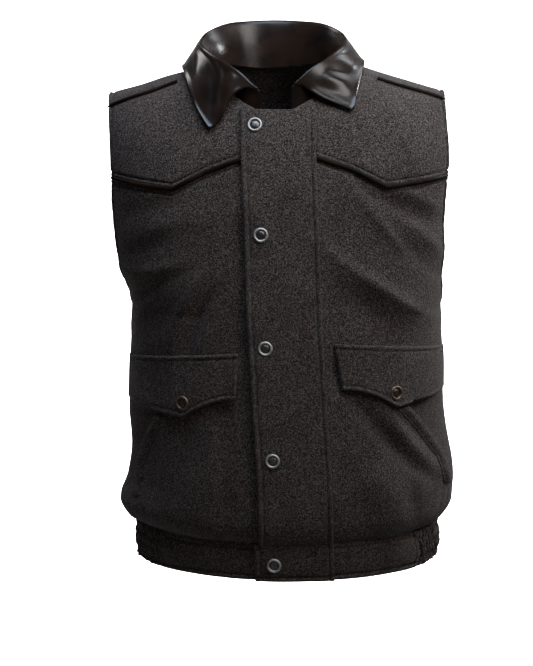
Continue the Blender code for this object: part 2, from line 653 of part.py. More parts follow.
def main():
    for old in list(bpy.data.objects):
        bpy.data.objects.remove(old)
    bpy.context.collection.objects.link(bpy.data.objects.new("wool_vest", None))
    build_materials()
    build_fronts()
    build_back()
    build_waistband()
    build_pipings()
    build_placket()
    for name, side in SIDES.items():
        build_flap(name, side)
        build_welt(name, side)
    for number, (offset, z) in enumerate(SNAP_ROWS, start=1):
        build_snap(f"snap_{number}", offset, z, "snap_metal")
    build_collar()


main()
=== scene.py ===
"""Looks of the wool vest: cloth, leather, stitching, snaps, studio and camera.

Metres, +Z up. The front faces -Y and the wearer's left is +X. A place on the cloth has two numbers. "across"
runs from -1 at the right edge to 1 at the left edge. "walk" runs up the front as plain height, then over the
shoulder ridge and down the back. The tables repeat the part's own sizes, and the grids over them are finer.
"""

import math

import bpy
import mathutils
import numpy as np
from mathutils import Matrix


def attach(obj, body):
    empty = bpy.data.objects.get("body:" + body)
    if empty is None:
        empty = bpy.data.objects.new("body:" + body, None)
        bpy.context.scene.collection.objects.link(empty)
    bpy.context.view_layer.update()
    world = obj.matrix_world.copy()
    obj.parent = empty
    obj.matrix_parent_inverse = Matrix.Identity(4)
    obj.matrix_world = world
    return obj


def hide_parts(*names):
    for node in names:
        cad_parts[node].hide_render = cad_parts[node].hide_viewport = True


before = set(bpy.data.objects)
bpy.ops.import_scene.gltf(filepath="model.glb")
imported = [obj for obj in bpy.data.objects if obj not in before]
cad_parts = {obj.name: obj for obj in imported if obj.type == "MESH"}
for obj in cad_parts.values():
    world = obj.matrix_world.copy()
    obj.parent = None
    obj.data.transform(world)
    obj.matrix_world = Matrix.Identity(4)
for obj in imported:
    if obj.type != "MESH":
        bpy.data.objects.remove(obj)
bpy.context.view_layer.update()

# Thickness of the cloth and leather, and the clearances between pieces
WALL = 0.0025
DOUBLE_WALL = 0.003
LEATHER = 0.0024
LIFT = 0.0008

# Heights that the cut is laid out on
HEM_Z = -0.625
BAND_Z = -0.577
UNDERARM_Z = -0.295
ROLL_Z = -0.17
BACK_SEAM_Z = -0.15

# Shoulder: the ridge falls away from the neck, and the chest rolls over towards it
RIDGE_TOP = 0.027
RIDGE_SLOPE = 0.296
RIDGE_ROUND = 0.03
ROLL_LENGTH = 0.19
ROLL_SQUARE = 2.2
RIDGE_WALK = ROLL_Z + ROLL_LENGTH * math.pi / 2
SHOULDER_SEAM_WALK = ROLL_Z + ROLL_LENGTH * math.radians(72)
SHOULDER_SEAM_DROP = {-1: 0.032, 1: 0.008}

# Level sections from hem to shoulder: half-widths from the leaning centre line, depths from the ridge plane
# and at the side or armhole edge, how far round to the side the cloth wraps, and how square the section is
SECTION_COLUMNS = (
    *("z", "lean", "right", "left"),
    *("front", "front_edge", "back", "back_edge", "wrap", "square"),
)
SECTION_ROWS = (
    (-0.625, 0.021, 0.2045, 0.182, 0.1475, 0.0, 0.118, 0.0, 1.0, 2.05),
    (-0.603, 0.0205, 0.2085, 0.1875, 0.1505, 0.0, 0.1205, 0.0, 1.0, 2.05),
    (-0.577, 0.02, 0.206, 0.1845, 0.1515, 0.0, 0.121, 0.0, 1.0, 2.05),
    (-0.566, 0.0195, 0.22, 0.1955, 0.157, 0.0, 0.126, 0.0, 1.0, 2.08),
    (-0.55, 0.019, 0.2265, 0.2045, 0.1605, 0.0, 0.13, 0.0, 1.0, 2.1),
    (-0.518, 0.018, 0.216, 0.2075, 0.161, 0.0, 0.132, 0.0, 1.0, 2.1),
    (-0.475, 0.016, 0.209, 0.2035, 0.158, 0.0, 0.13, 0.0, 1.0, 2.1),
    (-0.42, 0.012, 0.207, 0.199, 0.1535, 0.0, 0.127, 0.0, 1.0, 2.1),
    (-0.35, 0.008, 0.2005, 0.2015, 0.1495, 0.0, 0.125, 0.0, 1.0, 2.15),
    (-0.295, 0.0045, 0.1945, 0.202, 0.146, 0.0, 0.125, 0.0, 1.0, 2.2),
    (-0.2935, 0.0045, 0.1946, 0.202, 0.1459, 0.0095, 0.125, 0.0095, 0.978, 2.2),
    (-0.29, 0.0044, 0.195, 0.202, 0.1458, 0.0165, 0.125, 0.0165, 0.96, 2.2),
    (-0.283, 0.0042, 0.1957, 0.202, 0.1454, 0.0245, 0.125, 0.024, 0.94, 2.2),
    (-0.265, 0.0035, 0.199, 0.202, 0.1445, 0.036, 0.1255, 0.034, 0.91, 2.22),
    (-0.24, 0.0025, 0.2055, 0.2025, 0.1425, 0.046, 0.126, 0.043, 0.87, 2.25),
    (-0.17, 0.0, 0.211, 0.206, 0.1375, 0.056, 0.125, 0.052, 0.82, 2.3),
    (-0.1, -0.003, 0.2095, 0.2135, 0.133, 0.06, 0.12, 0.055, 0.8, 2.3),
    (0.0, -0.004, 0.213, 0.2115, 0.13, 0.06, 0.116, 0.055, 0.8, 2.3),
)
SECTIONS = dict(zip(SECTION_COLUMNS, np.array(SECTION_ROWS).T))

# Folds and creases, as soft ridges, or troughs where the height is negative: the middle, the half-length, the
# half-width, the tilt from level, how far the ends bend away, and the height. The first five of the front and
# the first four of the back are the solids' own.
FOLD_COLUMNS = ("x", "z", "length", "width", "tilt", "bend", "height")
FRONT_FOLDS = (
    (0.118, -0.262, 0.075, 0.02, -37.0, 0.0, 0.006),
    (0.11, -0.296, 0.05, 0.02, -32.0, 0.0, -0.004),
    (-0.15, -0.27, 0.055, 0.022, 80.0, 0.0, 0.004),
    (-0.085, -0.5, 0.05, 0.026, 70.0, 0.0, 0.0035),
    (0.13, -0.52, 0.05, 0.024, -75.0, 0.0, 0.0035),
    (0.121, -0.26, 0.08, 0.0068, -35.0, 0.003, 0.004),
    (0.112, -0.281, 0.058, 0.012, -31.0, 0.003, -0.0014),
    (0.142, -0.16, 0.052, 0.01, -27.5, 0.002, -0.0046),
    (0.157, -0.145, 0.038, 0.007, -28.0, 0.0, 0.003),
    (0.135, -0.197, 0.086, 0.0075, -50.0, 0.004, 0.0044),
    (0.162, -0.225, 0.04, 0.01, -49.0, 0.003, -0.0052),
    (0.182, -0.205, 0.028, 0.008, -46.0, 0.0, 0.0036),
    (0.086, -0.225, 0.022, 0.008, -42.0, 0.002, -0.0018),
    (0.136, -0.452, 0.074, 0.0092, -47.0, 0.004, -0.0072),
    (0.065, -0.365, 0.024, 0.008, -80.0, 0.002, -0.003),
    (0.159, -0.455, 0.064, 0.0082, -52.0, 0.003, 0.0052),
    (0.095, -0.48, 0.05, 0.014, -52.0, 0.003, 0.0018),
    (-0.096, -0.288, 0.064, 0.0085, 60.0, -0.012, -0.0072),
    (-0.121, -0.284, 0.05, 0.008, 66.0, -0.006, 0.0056),
    (-0.078, -0.262, 0.042, 0.009, 50.0, -0.006, 0.004),
    (-0.15, -0.24, 0.038, 0.008, 16.0, 0.002, 0.0034),
    (-0.158, -0.262, 0.034, 0.01, 30.0, 0.003, -0.0042),
    (-0.172, -0.3, 0.03, 0.009, 62.0, 0.003, 0.003),
    (-0.155, -0.162, 0.042, 0.011, 20.0, 0.003, -0.0024),
    (-0.138, -0.184, 0.052, 0.012, 15.0, -0.003, 0.0024),
    (-0.16, -0.212, 0.038, 0.011, 28.0, 0.003, -0.0028),
    (-0.07, -0.48, 0.13, 0.008, 89.0, 0.0, -0.0026),
    (0.066, -0.3, 0.15, 0.007, -88.0, 0.0, -0.0016),
    (-0.12, -0.47, 0.04, 0.012, 74.0, 0.004, -0.0016),
    (-0.16, -0.52, 0.035, 0.011, 84.0, 0.003, -0.0022),
    (-0.06, -0.535, 0.03, 0.012, 78.0, 0.003, -0.0014),
    (0.095, -0.53, 0.035, 0.012, -80.0, 0.004, -0.0018),
    (0.165, -0.53, 0.03, 0.01, -84.0, 0.003, -0.0018),
)
BACK_FOLDS = (
    (-0.075, -0.5, 0.07, 0.028, 82.0, 0.0, 0.0045),
    (0.06, -0.49, 0.075, 0.028, -80.0, 0.0, 0.0045),
    (0.12, -0.265, 0.07, 0.024, 35.0, 0.0, 0.0045),
    (-0.125, -0.27, 0.065, 0.024, -38.0, 0.0, 0.0045),
    (0.004, -0.43, 0.09, 0.014, 87.0, 0.008, -0.0066),
    (0.112, -0.52, 0.056, 0.011, -80.0, 0.006, -0.0069),
    (0.09, -0.47, 0.07, 0.009, -72.0, 0.005, 0.0054),
    (-0.135, -0.512, 0.054, 0.011, 78.0, 0.006, -0.0072),
    (-0.104, -0.462, 0.066, 0.009, 70.0, 0.005, 0.0057),
    (0.143, -0.306, 0.056, 0.009, 31.0, 0.006, -0.0078),
    (0.12, -0.282, 0.07, 0.008, 36.0, 0.004, 0.006),
    (0.092, -0.352, 0.06, 0.01, 42.0, 0.005, -0.0054),
    (-0.148, -0.318, 0.052, 0.009, -33.0, 0.006, -0.0081),
    (-0.128, -0.29, 0.074, 0.008, -37.0, 0.004, 0.0063),
    (-0.096, -0.37, 0.056, 0.01, -45.0, 0.005, -0.0057),
    (0.064, -0.222, 0.062, 0.011, 9.0, -0.006, 0.0042),
    (0.05, -0.245, 0.056, 0.011, 12.0, -0.006, -0.0039),
    (-0.072, -0.24, 0.058, 0.011, -13.0, -0.006, 0.0039),
    (-0.06, -0.262, 0.05, 0.011, -10.0, -0.006, -0.0042),
    (0.15, -0.205, 0.04, 0.01, 52.0, 0.004, 0.0039),
    (-0.155, -0.21, 0.042, 0.01, -50.0, 0.004, 0.0039),
    (0.03, -0.52, 0.036, 0.01, 84.0, 0.003, 0.0033),
    (-0.04, -0.53, 0.032, 0.01, -86.0, 0.003, -0.0036),
)

# Gathers of the body where it puffs over the waistband: height, and how far up they run
PUFF_HIGH = 0.0016
PUFF_RISE = 0.03

# Neck opening in plan, and the pointed seam under each front yoke as distance from the centre line and height
NECK_X = -0.006
NECK_Y = -0.0235
NECK_WIDE = 0.08
NECK_DEEP = 0.0815
YOKE_TIP = (0.131, -0.137)
YOKE_SEAM = (
    *((0.0, -0.082), (0.047, -0.1005), (0.089, -0.1155)),
    *(YOKE_TIP, (0.17, -0.133), (0.212, -0.1275)),
)
YOKE_SHIFT = {-1: -0.003, 1: 0.0}

# Piping rolls
PIPING_WIDE = 0.0054
PIPING_HIGH = 0.0036
SHOULDER_PIPING_START = 0.124

# Placket down the front, its tab on the waistband, and its snaps as distance from the centre line and height
PLACKET_HALF = 0.0455
PLACKET_TOP_Z = -0.0445
TAB_RIGHT = 0.0515
SNAP_ROWS = (
    *((-0.028, -0.063), (-0.025, -0.193), (-0.025, -0.331)),
    *((-0.025, -0.469), (-0.028, -0.6025)),
)

# Snap: profiles of its ring and its dome as radius and height
RING_PROFILE = (
    *((0.009, 0.0), (0.00915, 0.0006), (0.009, 0.0013), (0.0086, 0.002), (0.008, 0.0025)),
    *((0.0073, 0.0026), (0.0067, 0.0023), (0.0062, 0.0017), (0.0059, 0.0011), (0.0057, 0.0006)),
)
DOME_PROFILE = (
    *((0.0057, 0.0006), (0.0052, 0.0011), (0.0044, 0.0017), (0.0033, 0.0021)),
    *((0.002, 0.0024), (0.0008, 0.0025)),
)

# Pocket flap as distance from the centre line and height
FLAP_TOP_INNER = (0.0585, -0.332)
FLAP_TOP_OUTER_Z = -0.352
FLAP_LOW_INNER = (0.065, -0.3895)
FLAP_TIP = (0.13, -0.416)
FLAP_LOW_OUTER_Z = -0.407
FLAP_OUTER_ACROSS = 0.9
FLAP_SNAP_RISE = 0.0187
FLAP_SNAP_LIFT = 0.001
FLAP_SHIFT = {-1: -0.006, 1: 0.006}
FLAP_HOLLOW = 1.9
FLAP_TIP_ROUND = (-0.02, -0.012, -0.004, 0.004, 0.012, 0.02)
FLAP_SWEEP = {-1: 1.15, 1: 1.7}

# Slanted hand pocket: heights of its opening edge, distances from the centre line, and the welt beside it
WELT_HEIGHTS = np.array((-0.4185, -0.449, -0.488, -0.528))
WELT_OFFSETS = {-1: (0.168, 0.184, 0.199, 0.2055), 1: (0.149, 0.1695, 0.19, 0.1995)}
WELT_ACROSS = 0.072

# Waistband: where the elastic side sections start, and their puckers
ELASTIC_START = 0.6
GATHERS = 26
GATHER_HIGH = 0.0056
GATHER_BANDS = 4

# Collar stations from the right front end round the back to the left one: the angle round the neck where the
# stand is sewn, the height and outward spread of the roll, and the angle, reach from the neck's middle and
# lift of the leaf's edge
COLLAR_COLUMNS = ("sewn", "roll_z", "spread", "leaf", "reach", "lift")
COLLAR_ROWS = (
    (14.0, -0.019, 0.0, 42.0, 0.112, 0.0045),
    (21.0, -0.012, 0.001, 45.5, 0.116, 0.005),
    (32.0, 0.001, 0.002, 53.0, 0.1165, 0.0055),
    (48.0, 0.012, 0.004, 64.0, 0.115, 0.006),
    (66.0, 0.022, 0.008, 79.0, 0.113, 0.006),
    (90.0, 0.034, 0.014, 99.0, 0.116, 0.006),
    (115.0, 0.047, 0.015, 121.0, 0.114, 0.006),
    (145.0, 0.058, 0.01, 148.0, 0.111, 0.006),
    (180.0, 0.06, 0.008, 180.0, 0.109, 0.006),
    (215.0, 0.058, 0.009, 212.0, 0.111, 0.006),
    (245.0, 0.048, 0.01, 239.0, 0.113, 0.006),
    (270.0, 0.036, 0.008, 262.0, 0.11, 0.006),
    (294.0, 0.026, 0.005, 282.0, 0.108, 0.006),
    (312.0, 0.016, 0.003, 294.0, 0.1105, 0.006),
    (328.0, 0.006, 0.002, 302.0, 0.1145, 0.0055),
    (339.0, -0.006, 0.001, 305.5, 0.1168, 0.005),
    (346.0, -0.014, 0.0, 308.0, 0.1155, 0.0045),
)
COLLAR = dict(zip(COLLAR_COLUMNS, np.array(COLLAR_ROWS).T))
COLLAR_INSET = 0.0045
COLLAR_DROP = 0.0035
ROLL_OUT = 0.0075

# Edges: steps of the grids near them, the roll of a seam, the groove of a stitch line, and the stitches
CLOSE_STEPS = (0.0, 0.0003, 0.0008, 0.0015, 0.0025, 0.0038, 0.0052, 0.0062, 0.0072, 0.0085, 0.0105)
SEAM_DIP = 0.0014
SEAM_SOFT = 0.003
RIM_ROUND = 0.0022
RIM_SWELL = 0.0011
GROOVE_DEEP = 0.0017
GROOVE_WIDE = 0.0013
EDGE_GROOVE = 0.0065
SEAM_GROOVE = 0.0068
SEAM_STITCH = 0.0072
HEM_GROOVE = 0.007
BAND_GROOVE = 0.006
FLAP_TOP_GROOVE = 0.0062
FLAP_GROOVE = 0.0058
STITCH_PITCH = 0.0036
STITCH_RADIUS = 0.00034
STITCH_RINGS = (
    *((-1.25, 0.35, -0.8), (-0.8, 0.95, 0.0), (0.0, 1.0, 0.35)),
    *((0.8, 0.95, 0.0), (1.25, 0.35, -0.8)),
)
FLAP_STAND = 0.0034
POCKET_DEEP = 0.009
PLACKET_STAND = 0.0042

# Folds of the collar's leather, each along a line from one station and step to another, then the half-width
# in stations and the height
COLLAR_FOLDS = (
    (4.2, 3.6, 0.7, 5.9, 0.45, 0.0018),
    (3.0, 3.7, 1.3, 5.4, 0.32, 0.0013),
    (3.6, 3.7, 1.0, 5.7, 0.3, -0.0015),
    (5.3, 3.6, 2.6, 5.8, 0.5, -0.0014),
    (2.2, 3.8, 1.7, 4.9, 0.3, -0.001),
    (13.5, 4.0, 12.7, 5.3, 0.28, 0.0014),
    (14.1, 4.2, 13.3, 5.6, 0.34, -0.0014),
    (12.6, 3.8, 12.1, 5.5, 0.34, -0.0012),
    (14.9, 4.2, 14.2, 5.8, 0.4, 0.0012),
    (11.6, 3.7, 11.2, 5.4, 0.4, 0.0014),
    (6.3, 3.6, 6.0, 5.7, 0.4, 0.0012),
    (7.4, 3.8, 7.6, 5.5, 0.5, -0.0014),
    (8.7, 3.7, 8.5, 5.8, 0.55, 0.0013),
    (9.9, 3.8, 10.1, 5.5, 0.45, -0.0012),
)

# Hollow cut of the leaves' front edges: the step from foot to edge, and the stations cut away at the right
# and the left end, which fade out over a few stations
COLLAR_CUT_ROWS = (
    *((0.0, 0.0, 0.0), (3.5, 0.0, 0.0), (4.0, 0.95, 0.5), (4.5, 1.2, 0.25)),
    *((5.0, 1.0, 0.0), (5.5, 0.15, 0.0), (6.0, 0.0, 0.0)),
)
COLLAR_CUT = np.array(COLLAR_CUT_ROWS).T
COLLAR_CUT_FADE = 3.0
COLLAR_FINE = 385
COLLAR_CLOSE = (0.0, 0.05, 0.12, 0.22, 0.34, 0.48, 0.64, 0.8)

# Columns and rows of the grids
SIDES = {"right": -1, "left": 1}
NECK_COLUMNS = 18
CHEST_COLUMNS = 18
EDGE_COLUMNS = 40
BODY_ROWS = 124
YOKE_ROWS = 46
BACK_YOKE_ROWS = 56
BACK_NECK_COLUMNS = 49
BACK_SPREAD = 0.36
BACK_BEND = 2.5
BAND_ROWS = 22

# Floor, well below the hem, and the lamps: name, place, target, width, height, power, colour and spread
FLOOR_Z = -1.45
LAMP_ROWS = (
    ("key_light", (0.88, -0.78, 0.68), (0.06, -0.1, -0.06), 0.6, 0.6, 6.9, (1.0, 0.96, 0.93), 86.0),
    ("top_light", (0.06, -0.4, 0.74), (-0.02, -0.08, -0.05), 0.7, 0.4, 9.4, (0.68, 0.82, 1.0), 100.0),
    ("left_back_light", (-0.7, 0.4, 0.8), (0.0, 0.0, 0.02), 0.34, 0.34, 1.5, (1.0, 0.96, 0.96), 80.0),
    ("right_back_light", (0.75, 0.4, 0.8), (0.0, 0.0, 0.02), 0.5, 0.4, 1.6, (0.9, 0.94, 1.0), 80.0),
    ("wall_light", (0.0, 2.3, 1.7), (0.0, 3.6, -1.2), 2.2, 1.0, 200.0, (1.0, 1.0, 1.0), 90.0),
    ("back_light", (1.75, 0.85, 0.6), (0.0, 0.1, -0.3), 0.4, 0.4, 9.0, (0.93, 0.96, 1.0), 60.0),
)

# Colours of the wool from its dark ground to its palest specks
WOOL_STOPS = (
    *((0.42, (0.0013, 0.0009, 0.0007)), (0.5, (0.0104, 0.0078, 0.0066))),
    (0.585, (0.0455, 0.0362, 0.0316)),
)


# Surface of the cloth


def unit(vectors):
    return vectors / np.linalg.norm(vectors, axis=-1, keepdims=True)


def smooth(at, knots, values):
    """Cubic curve through the knots that never swings past them."""
    rise = np.diff(values) / np.diff(knots)
    slope = np.concatenate([rise[:1], np.zeros(len(values) - 2), rise[-1:]])
    same_way = rise[1:] * rise[:-1] > 0
    both = rise[1:] + rise[:-1]
    slope[1:-1][same_way] = (2 * rise[1:] * rise[:-1])[same_way] / both[same_way]
    first = np.clip(np.searchsorted(knots, at) - 1, 0, len(knots) - 2)
    span = knots[first + 1] - knots[first]
    part = np.clip((at - knots[first]) / span, 0.0, 1.0)
    ease = part * part * (3 - 2 * part)
    leave = part * (1 - part) ** 2 * span * slope[first]
    arrive = part * part * (1 - part) * span * slope[first + 1]
    return values[first] + (values[first + 1] - values[first]) * ease + leave - arrive


def section(column, row):
    return smooth(row, SECTIONS["z"], SECTIONS[column])


def ridge_height(x):
    return RIDGE_TOP - RIDGE_SLOPE * (np.hypot(x, RIDGE_ROUND) - RIDGE_ROUND)


def row_at(level):
    """Height to look up in the section table, with the turn over the shoulder at that level."""
    turn = np.clip((level - ROLL_Z) / ROLL_LENGTH, 0.0, math.pi / 2)
    return np.minimum(level, ROLL_Z) - ROLL_Z * np.sin(turn), turn


def half_width(across, row):
    return np.where(across < 0, section("right", row), section("left", row))


def depth_at(across, row, back):
    square = section("square", row)
    half_turn = section("wrap", row) * math.pi / 2
    middle = np.where(back, section("back", row), section("front", row))
    edge = np.where(back, section("back_edge", row), section("front_edge", row))
    end = np.clip(np.cos(half_turn), 0, 1) ** (2 / square)
    bow = np.clip(np.cos(np.abs(across) * half_turn), 0, 1) ** (2 / square)
    return edge + (middle - edge) * (bow - end) / (1 - end)


def plain_points(across, walk):
    """Outer face of the cloth before any fold."""
    back = walk > RIDGE_WALK
    level = np.where(back, 2 * RIDGE_WALK - walk, walk)
    row, turn = row_at(level)
    half_turn = section("wrap", row) * math.pi / 2
    reach = np.sin(np.abs(across) * half_turn) / np.sin(half_turn)
    side = np.sign(across) * half_width(across, row) * reach ** (2 / section("square", row))
    x = section("lean", row) + side
    roll = np.clip(np.cos(turn), 0, 1) ** (2 / ROLL_SQUARE)
    y = np.where(back, 1, -1) * depth_at(across, row, back) * roll
    z = np.where(level < ROLL_Z, level, ROLL_Z + (ridge_height(x) - ROLL_Z) * np.sin(turn))
    return np.stack([x, y, z], axis=-1)


def wander(at, waves):
    """Uneven wave made of a few plain ones, each a length and a start."""
    return sum(np.sin(2 * math.pi * at / length + start) for length, start in waves) / len(waves)


def fold_height(points, across, walk):
    back = walk > RIDGE_WALK
    total = np.zeros(points.shape[:-1])
    for on_side, folds in ((~back, FRONT_FOLDS), (back, BACK_FOLDS)):
        for row in folds:
            fold = dict(zip(FOLD_COLUMNS, row))
            tilt = math.radians(fold["tilt"])
            over = points[..., 0] - fold["x"]
            up = points[..., 2] - fold["z"]
            along = (over * math.cos(tilt) + up * math.sin(tilt)) / fold["length"]
            beside = up * math.cos(tilt) - over * math.sin(tilt) - fold["bend"] * along**2
            total += on_side * fold["height"] * np.exp(-(along**2) - (beside / fold["width"]) ** 2)
    return total + puff_height(points, across, walk) + drift_height(points) - pocket_depth(across, walk)


def eased(part):
    part = np.clip(part, 0, 1)
    return part * part * (3 - 2 * part)


def pocket_depth(across, walk):
    """How far the side of the front lies back behind the opening edge of the slanted pocket."""
    depth = np.zeros(across.shape)
    for side in (-1, 1):
        level = walk - FLAP_SHIFT[side]
        z = np.clip(level, WELT_HEIGHTS[-1], WELT_HEIGHTS[0])
        opening = place(side * np.interp(-z, -WELT_HEIGHTS, WELT_OFFSETS[side]), z + FLAP_SHIFT[side])[..., 0]
        beyond = eased((side * across - np.abs(opening)) / 0.012)
        within = eased((WELT_HEIGHTS[0] + 0.012 - level) / 0.012)
        within = within * eased((level - WELT_HEIGHTS[-1] + 0.004) / 0.03)
        fade = 1 - eased((np.abs(across) - np.abs(opening) - 0.01) / (0.98 - np.abs(opening)))
        depth += np.where(side * across > 0, beyond * within * fade, 0.0)
    return POCKET_DEEP * depth


def puff_height(points, across, walk):
    """Small upright gathers just above the waistband, most at the elastic sides."""
    rise = (points[..., 2] - BAND_Z - 0.018) / PUFF_RISE
    round_body = points[..., 0] - 1.3 * points[..., 1] * np.sign(points[..., 0])
    wave = wander(round_body, ((0.017, 0.4), (0.023, 2.1), (0.031, 4.0), (0.0127, 1.0)))
    strength = 0.35 + 0.9 * np.clip((np.abs(across) - 0.45) / 0.3, 0, 1)
    middle = np.clip((np.abs(points[..., 0] - 0.02) - 0.05) / 0.03, 0, 1)
    keep = np.where(walk > RIDGE_WALK, 1.0, middle)
    return PUFF_HIGH * strength * keep * wave * np.exp(-(rise**2))


def drift_height(points):
    """Slow unevenness of soft cloth that hangs free."""
    x, y, z = np.moveaxis(points, -1, 0)
    first = wander(x + 0.45 * z + 0.3 * y, ((0.083, 0.3), (0.121, 2.0), (0.06, 4.4)))
    second = wander(z - 0.35 * x + 0.2 * y, ((0.097, 1.2), (0.14, 3.1), (0.067, 5.2)))
    return 0.0007 * (first + second)


def cloth(across, walk):
    """Points on the outer face, with the normals that walls are thickened along."""
    across, walk = np.broadcast_arrays(np.asarray(across, float), np.asarray(walk, float))
    step = 0.001
    left = plain_points(np.clip(across + step, -1, 1), walk)
    right = plain_points(np.clip(across - step, -1, 1), walk)
    onward = plain_points(across, walk + step) - plain_points(across, walk - step)
    normals = unit(np.cross(left - right, onward))
    points = plain_points(across, walk)
    return points + normals * fold_height(points, across, walk)[..., None], normals


def across_at(offset, row):
    """Place across the cloth of a distance from the leaning centre line."""
    half_turn = section("wrap", row) * math.pi / 2
    part = np.clip(np.abs(offset) / half_width(offset, row), 0, 1) ** (section("square", row) / 2)
    return np.sign(offset) * np.arcsin(part * np.sin(half_turn)) / half_turn


def place(offset, z):
    """Place on the front of a distance from the centre line and a height."""
    offset, z = np.broadcast_arrays(np.asarray(offset, float), np.asarray(z, float))
    part = (z - ROLL_Z) / (ridge_height(offset + section("lean", z)) - ROLL_Z)
    walk = np.where(z < ROLL_Z, z, ROLL_Z + ROLL_LENGTH * np.arcsin(np.clip(part, 0, 1)))
    return np.stack([across_at(offset, row_at(walk)[0]), walk], axis=-1)


def place_above(x, y):
    """Place on the shoulders of a point of the plan view, found by repeated correction."""
    back = np.asarray(y) > 0
    turn = np.full(np.shape(x), 1.0)
    for _ in range(25):
        row = ROLL_Z - ROLL_Z * np.sin(turn)
        across = across_at(x - section("lean", row), row)
        part = np.clip(np.abs(y) / depth_at(across, row, back), 0, 1)
        turn = np.arccos(part ** (ROLL_SQUARE / 2))
    walk = ROLL_Z + ROLL_LENGTH * turn
    return np.stack([across, np.where(back, 2 * RIDGE_WALK - walk, walk)], axis=-1)


def neck_plan(angle, wide=NECK_WIDE, deep=NECK_DEEP):
    """Plan point of the neck opening at an angle in degrees, 0 at the front and 90 at the wearer's left."""
    turn = np.radians(angle)
    return NECK_X + wide * np.sin(turn), NECK_Y - deep * np.cos(turn)


def neck_corner(side):
    """Angle round the neck where the shoulder seam of one side meets it."""
    low, high = 30.0, 85.0
    for _ in range(40):
        middle = (low + high) / 2
        below = place_above(*neck_plan(side * middle))[1] < SHOULDER_SEAM_WALK
        low, high = (middle, high) if below else (low, middle)
    return side * (low + high) / 2


def shoulder_places(across):
    """Places along the forward shoulder seam of one side, which drops towards the armhole."""
    side = int(np.sign(across[0]))
    corner = abs(place_above(*neck_plan(neck_corner(side)))[0])
    outward = (np.abs(across) - corner) / (1 - corner)
    return np.stack([across, SHOULDER_SEAM_WALK - SHOULDER_SEAM_DROP[side] * outward], axis=-1)


def seam_places(across):
    """Places along the pointed yoke seam of one side."""
    side = int(np.sign(across[-1]))
    offsets, heights = np.array(YOKE_SEAM).T
    z = np.full(len(across), YOKE_TIP[1])
    for _ in range(6):
        row = row_at(place(0.1, z)[..., 1])[0]
        half_turn = section("wrap", row) * math.pi / 2
        reach = np.sin(np.abs(across) * half_turn) / np.sin(half_turn)
        offset = np.sign(across) * half_width(across, row) * reach ** (2 / section("square", row))
        shift = YOKE_SHIFT[side] * np.clip(np.abs(offset) / PLACKET_HALF, 0, 1)
        z = np.interp(np.abs(offset), offsets, heights) + shift
    return np.stack([across, place(offset, z)[..., 1]], axis=-1)


def between(start, end, parts, bend=1.0):
    """Grid of places from one edge to another. A bend over 1 takes the sideways part of the way early."""
    parts = np.asarray(parts)[:, None]
    across = start[:, 0] + (end[:, 0] - start[:, 0]) * (1 - (1 - parts) ** bend)
    walk = start[:, 1] + (end[:, 1] - start[:, 1]) * parts
    return np.stack([across, walk], axis=-1)


def back_walk(z):
    """Walk of a height on the back."""
    return 2 * RIDGE_WALK - place(0.1, z)[..., 1]


def level_places(across, z):
    return np.stack([across, np.full(len(across), z)], axis=-1)


def side_columns(side):
    """Columns of one front: even steps to the neck corner, to the yoke's point and to the edge."""
    corner = abs(place_above(*neck_plan(neck_corner(side)))[0])
    tip = abs(place(side * YOKE_TIP[0], YOKE_TIP[1])[0])
    inner = np.linspace(0, corner, NECK_COLUMNS)
    chest = np.linspace(corner, tip, CHEST_COLUMNS)[1:]
    return side * np.concatenate([inner, chest, np.linspace(tip, 1, EDGE_COLUMNS)[1:]])


# Meshes


def run_along(points):
    """Distance along a line of points."""
    return np.concatenate([[0.0], np.cumsum(np.linalg.norm(np.diff(points, axis=0), axis=-1))])


def points_at(at, run, points):
    """Points of a line at some distances along it."""
    return np.stack([np.interp(at, run, values) for values in points.T], axis=-1)


def add_piece(name, points, faces, materials, replaced=(), sharp=60.0):
    mesh = bpy.data.meshes.new(name)
    mesh.from_pydata(points.tolist(), [], faces)
    mesh.validate()
    mesh.shade_smooth()
    mesh.set_sharp_from_angle(angle=math.radians(sharp))
    for material in materials:
        mesh.materials.append(material)
    piece = bpy.data.objects.new(name, mesh)
    bpy.context.collection.objects.link(piece)
    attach(piece, "root")
    if replaced:
        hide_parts(*replaced)
    return piece


def shell_faces(rows, columns):
    """Faces of a closed wall between two grids, outer one first."""
    number = np.arange(rows * columns).reshape(rows, columns)
    faces = []
    for first, turned in ((0, False), (rows * columns, True)):
        ids = number + first
        corners = (ids[:-1, :-1], ids[:-1, 1:], ids[1:, 1:], ids[1:, :-1])
        faces += np.stack(corners[::-1] if turned else corners, axis=-1).reshape(-1, 4).tolist()
    rim = np.concatenate([number[0, :-1], number[:-1, -1], number[-1, :0:-1], number[:0:-1, 0]])
    after = np.roll(rim, -1)
    return faces + np.stack([rim, rim + rows * columns, after + rows * columns, after], axis=-1).tolist()


def shell(name, outer, inner, material, node=None):
    """Closed wall, turned so that its faces look outward."""
    faces = shell_faces(*outer.shape[:2])
    middle = outer.shape[0] // 2, outer.shape[1] // 2
    over = outer[middle[0], middle[1] + 1] - outer[middle]
    up = outer[middle[0] + 1, middle[1]] - outer[middle]
    if np.dot(np.cross(over, up), outer[middle] - inner[middle]) < 0:
        faces = [face[::-1] for face in faces]
    points = np.concatenate([outer.reshape(-1, 3), inner.reshape(-1, 3)])
    return add_piece(name, points, faces, [material], [node or name])


def fine_ends(count, length, start=True, stop=True):
    """Parts from 0 to 1 in even steps, with closer ones at the ends for rounded edges and stitch lines."""
    close = np.array(CLOSE_STEPS) / length
    even = np.linspace(0, 1, count)
    lowest = close[-1] if start else 0.0
    highest = 1 - close[-1] if stop else 1.0
    middle = lowest + (highest - lowest) * even
    parts = [close[:-1]] if start else []
    parts.append(middle)
    if stop:
        parts.append(1 - close[:-1][::-1])
    return np.concatenate(parts)


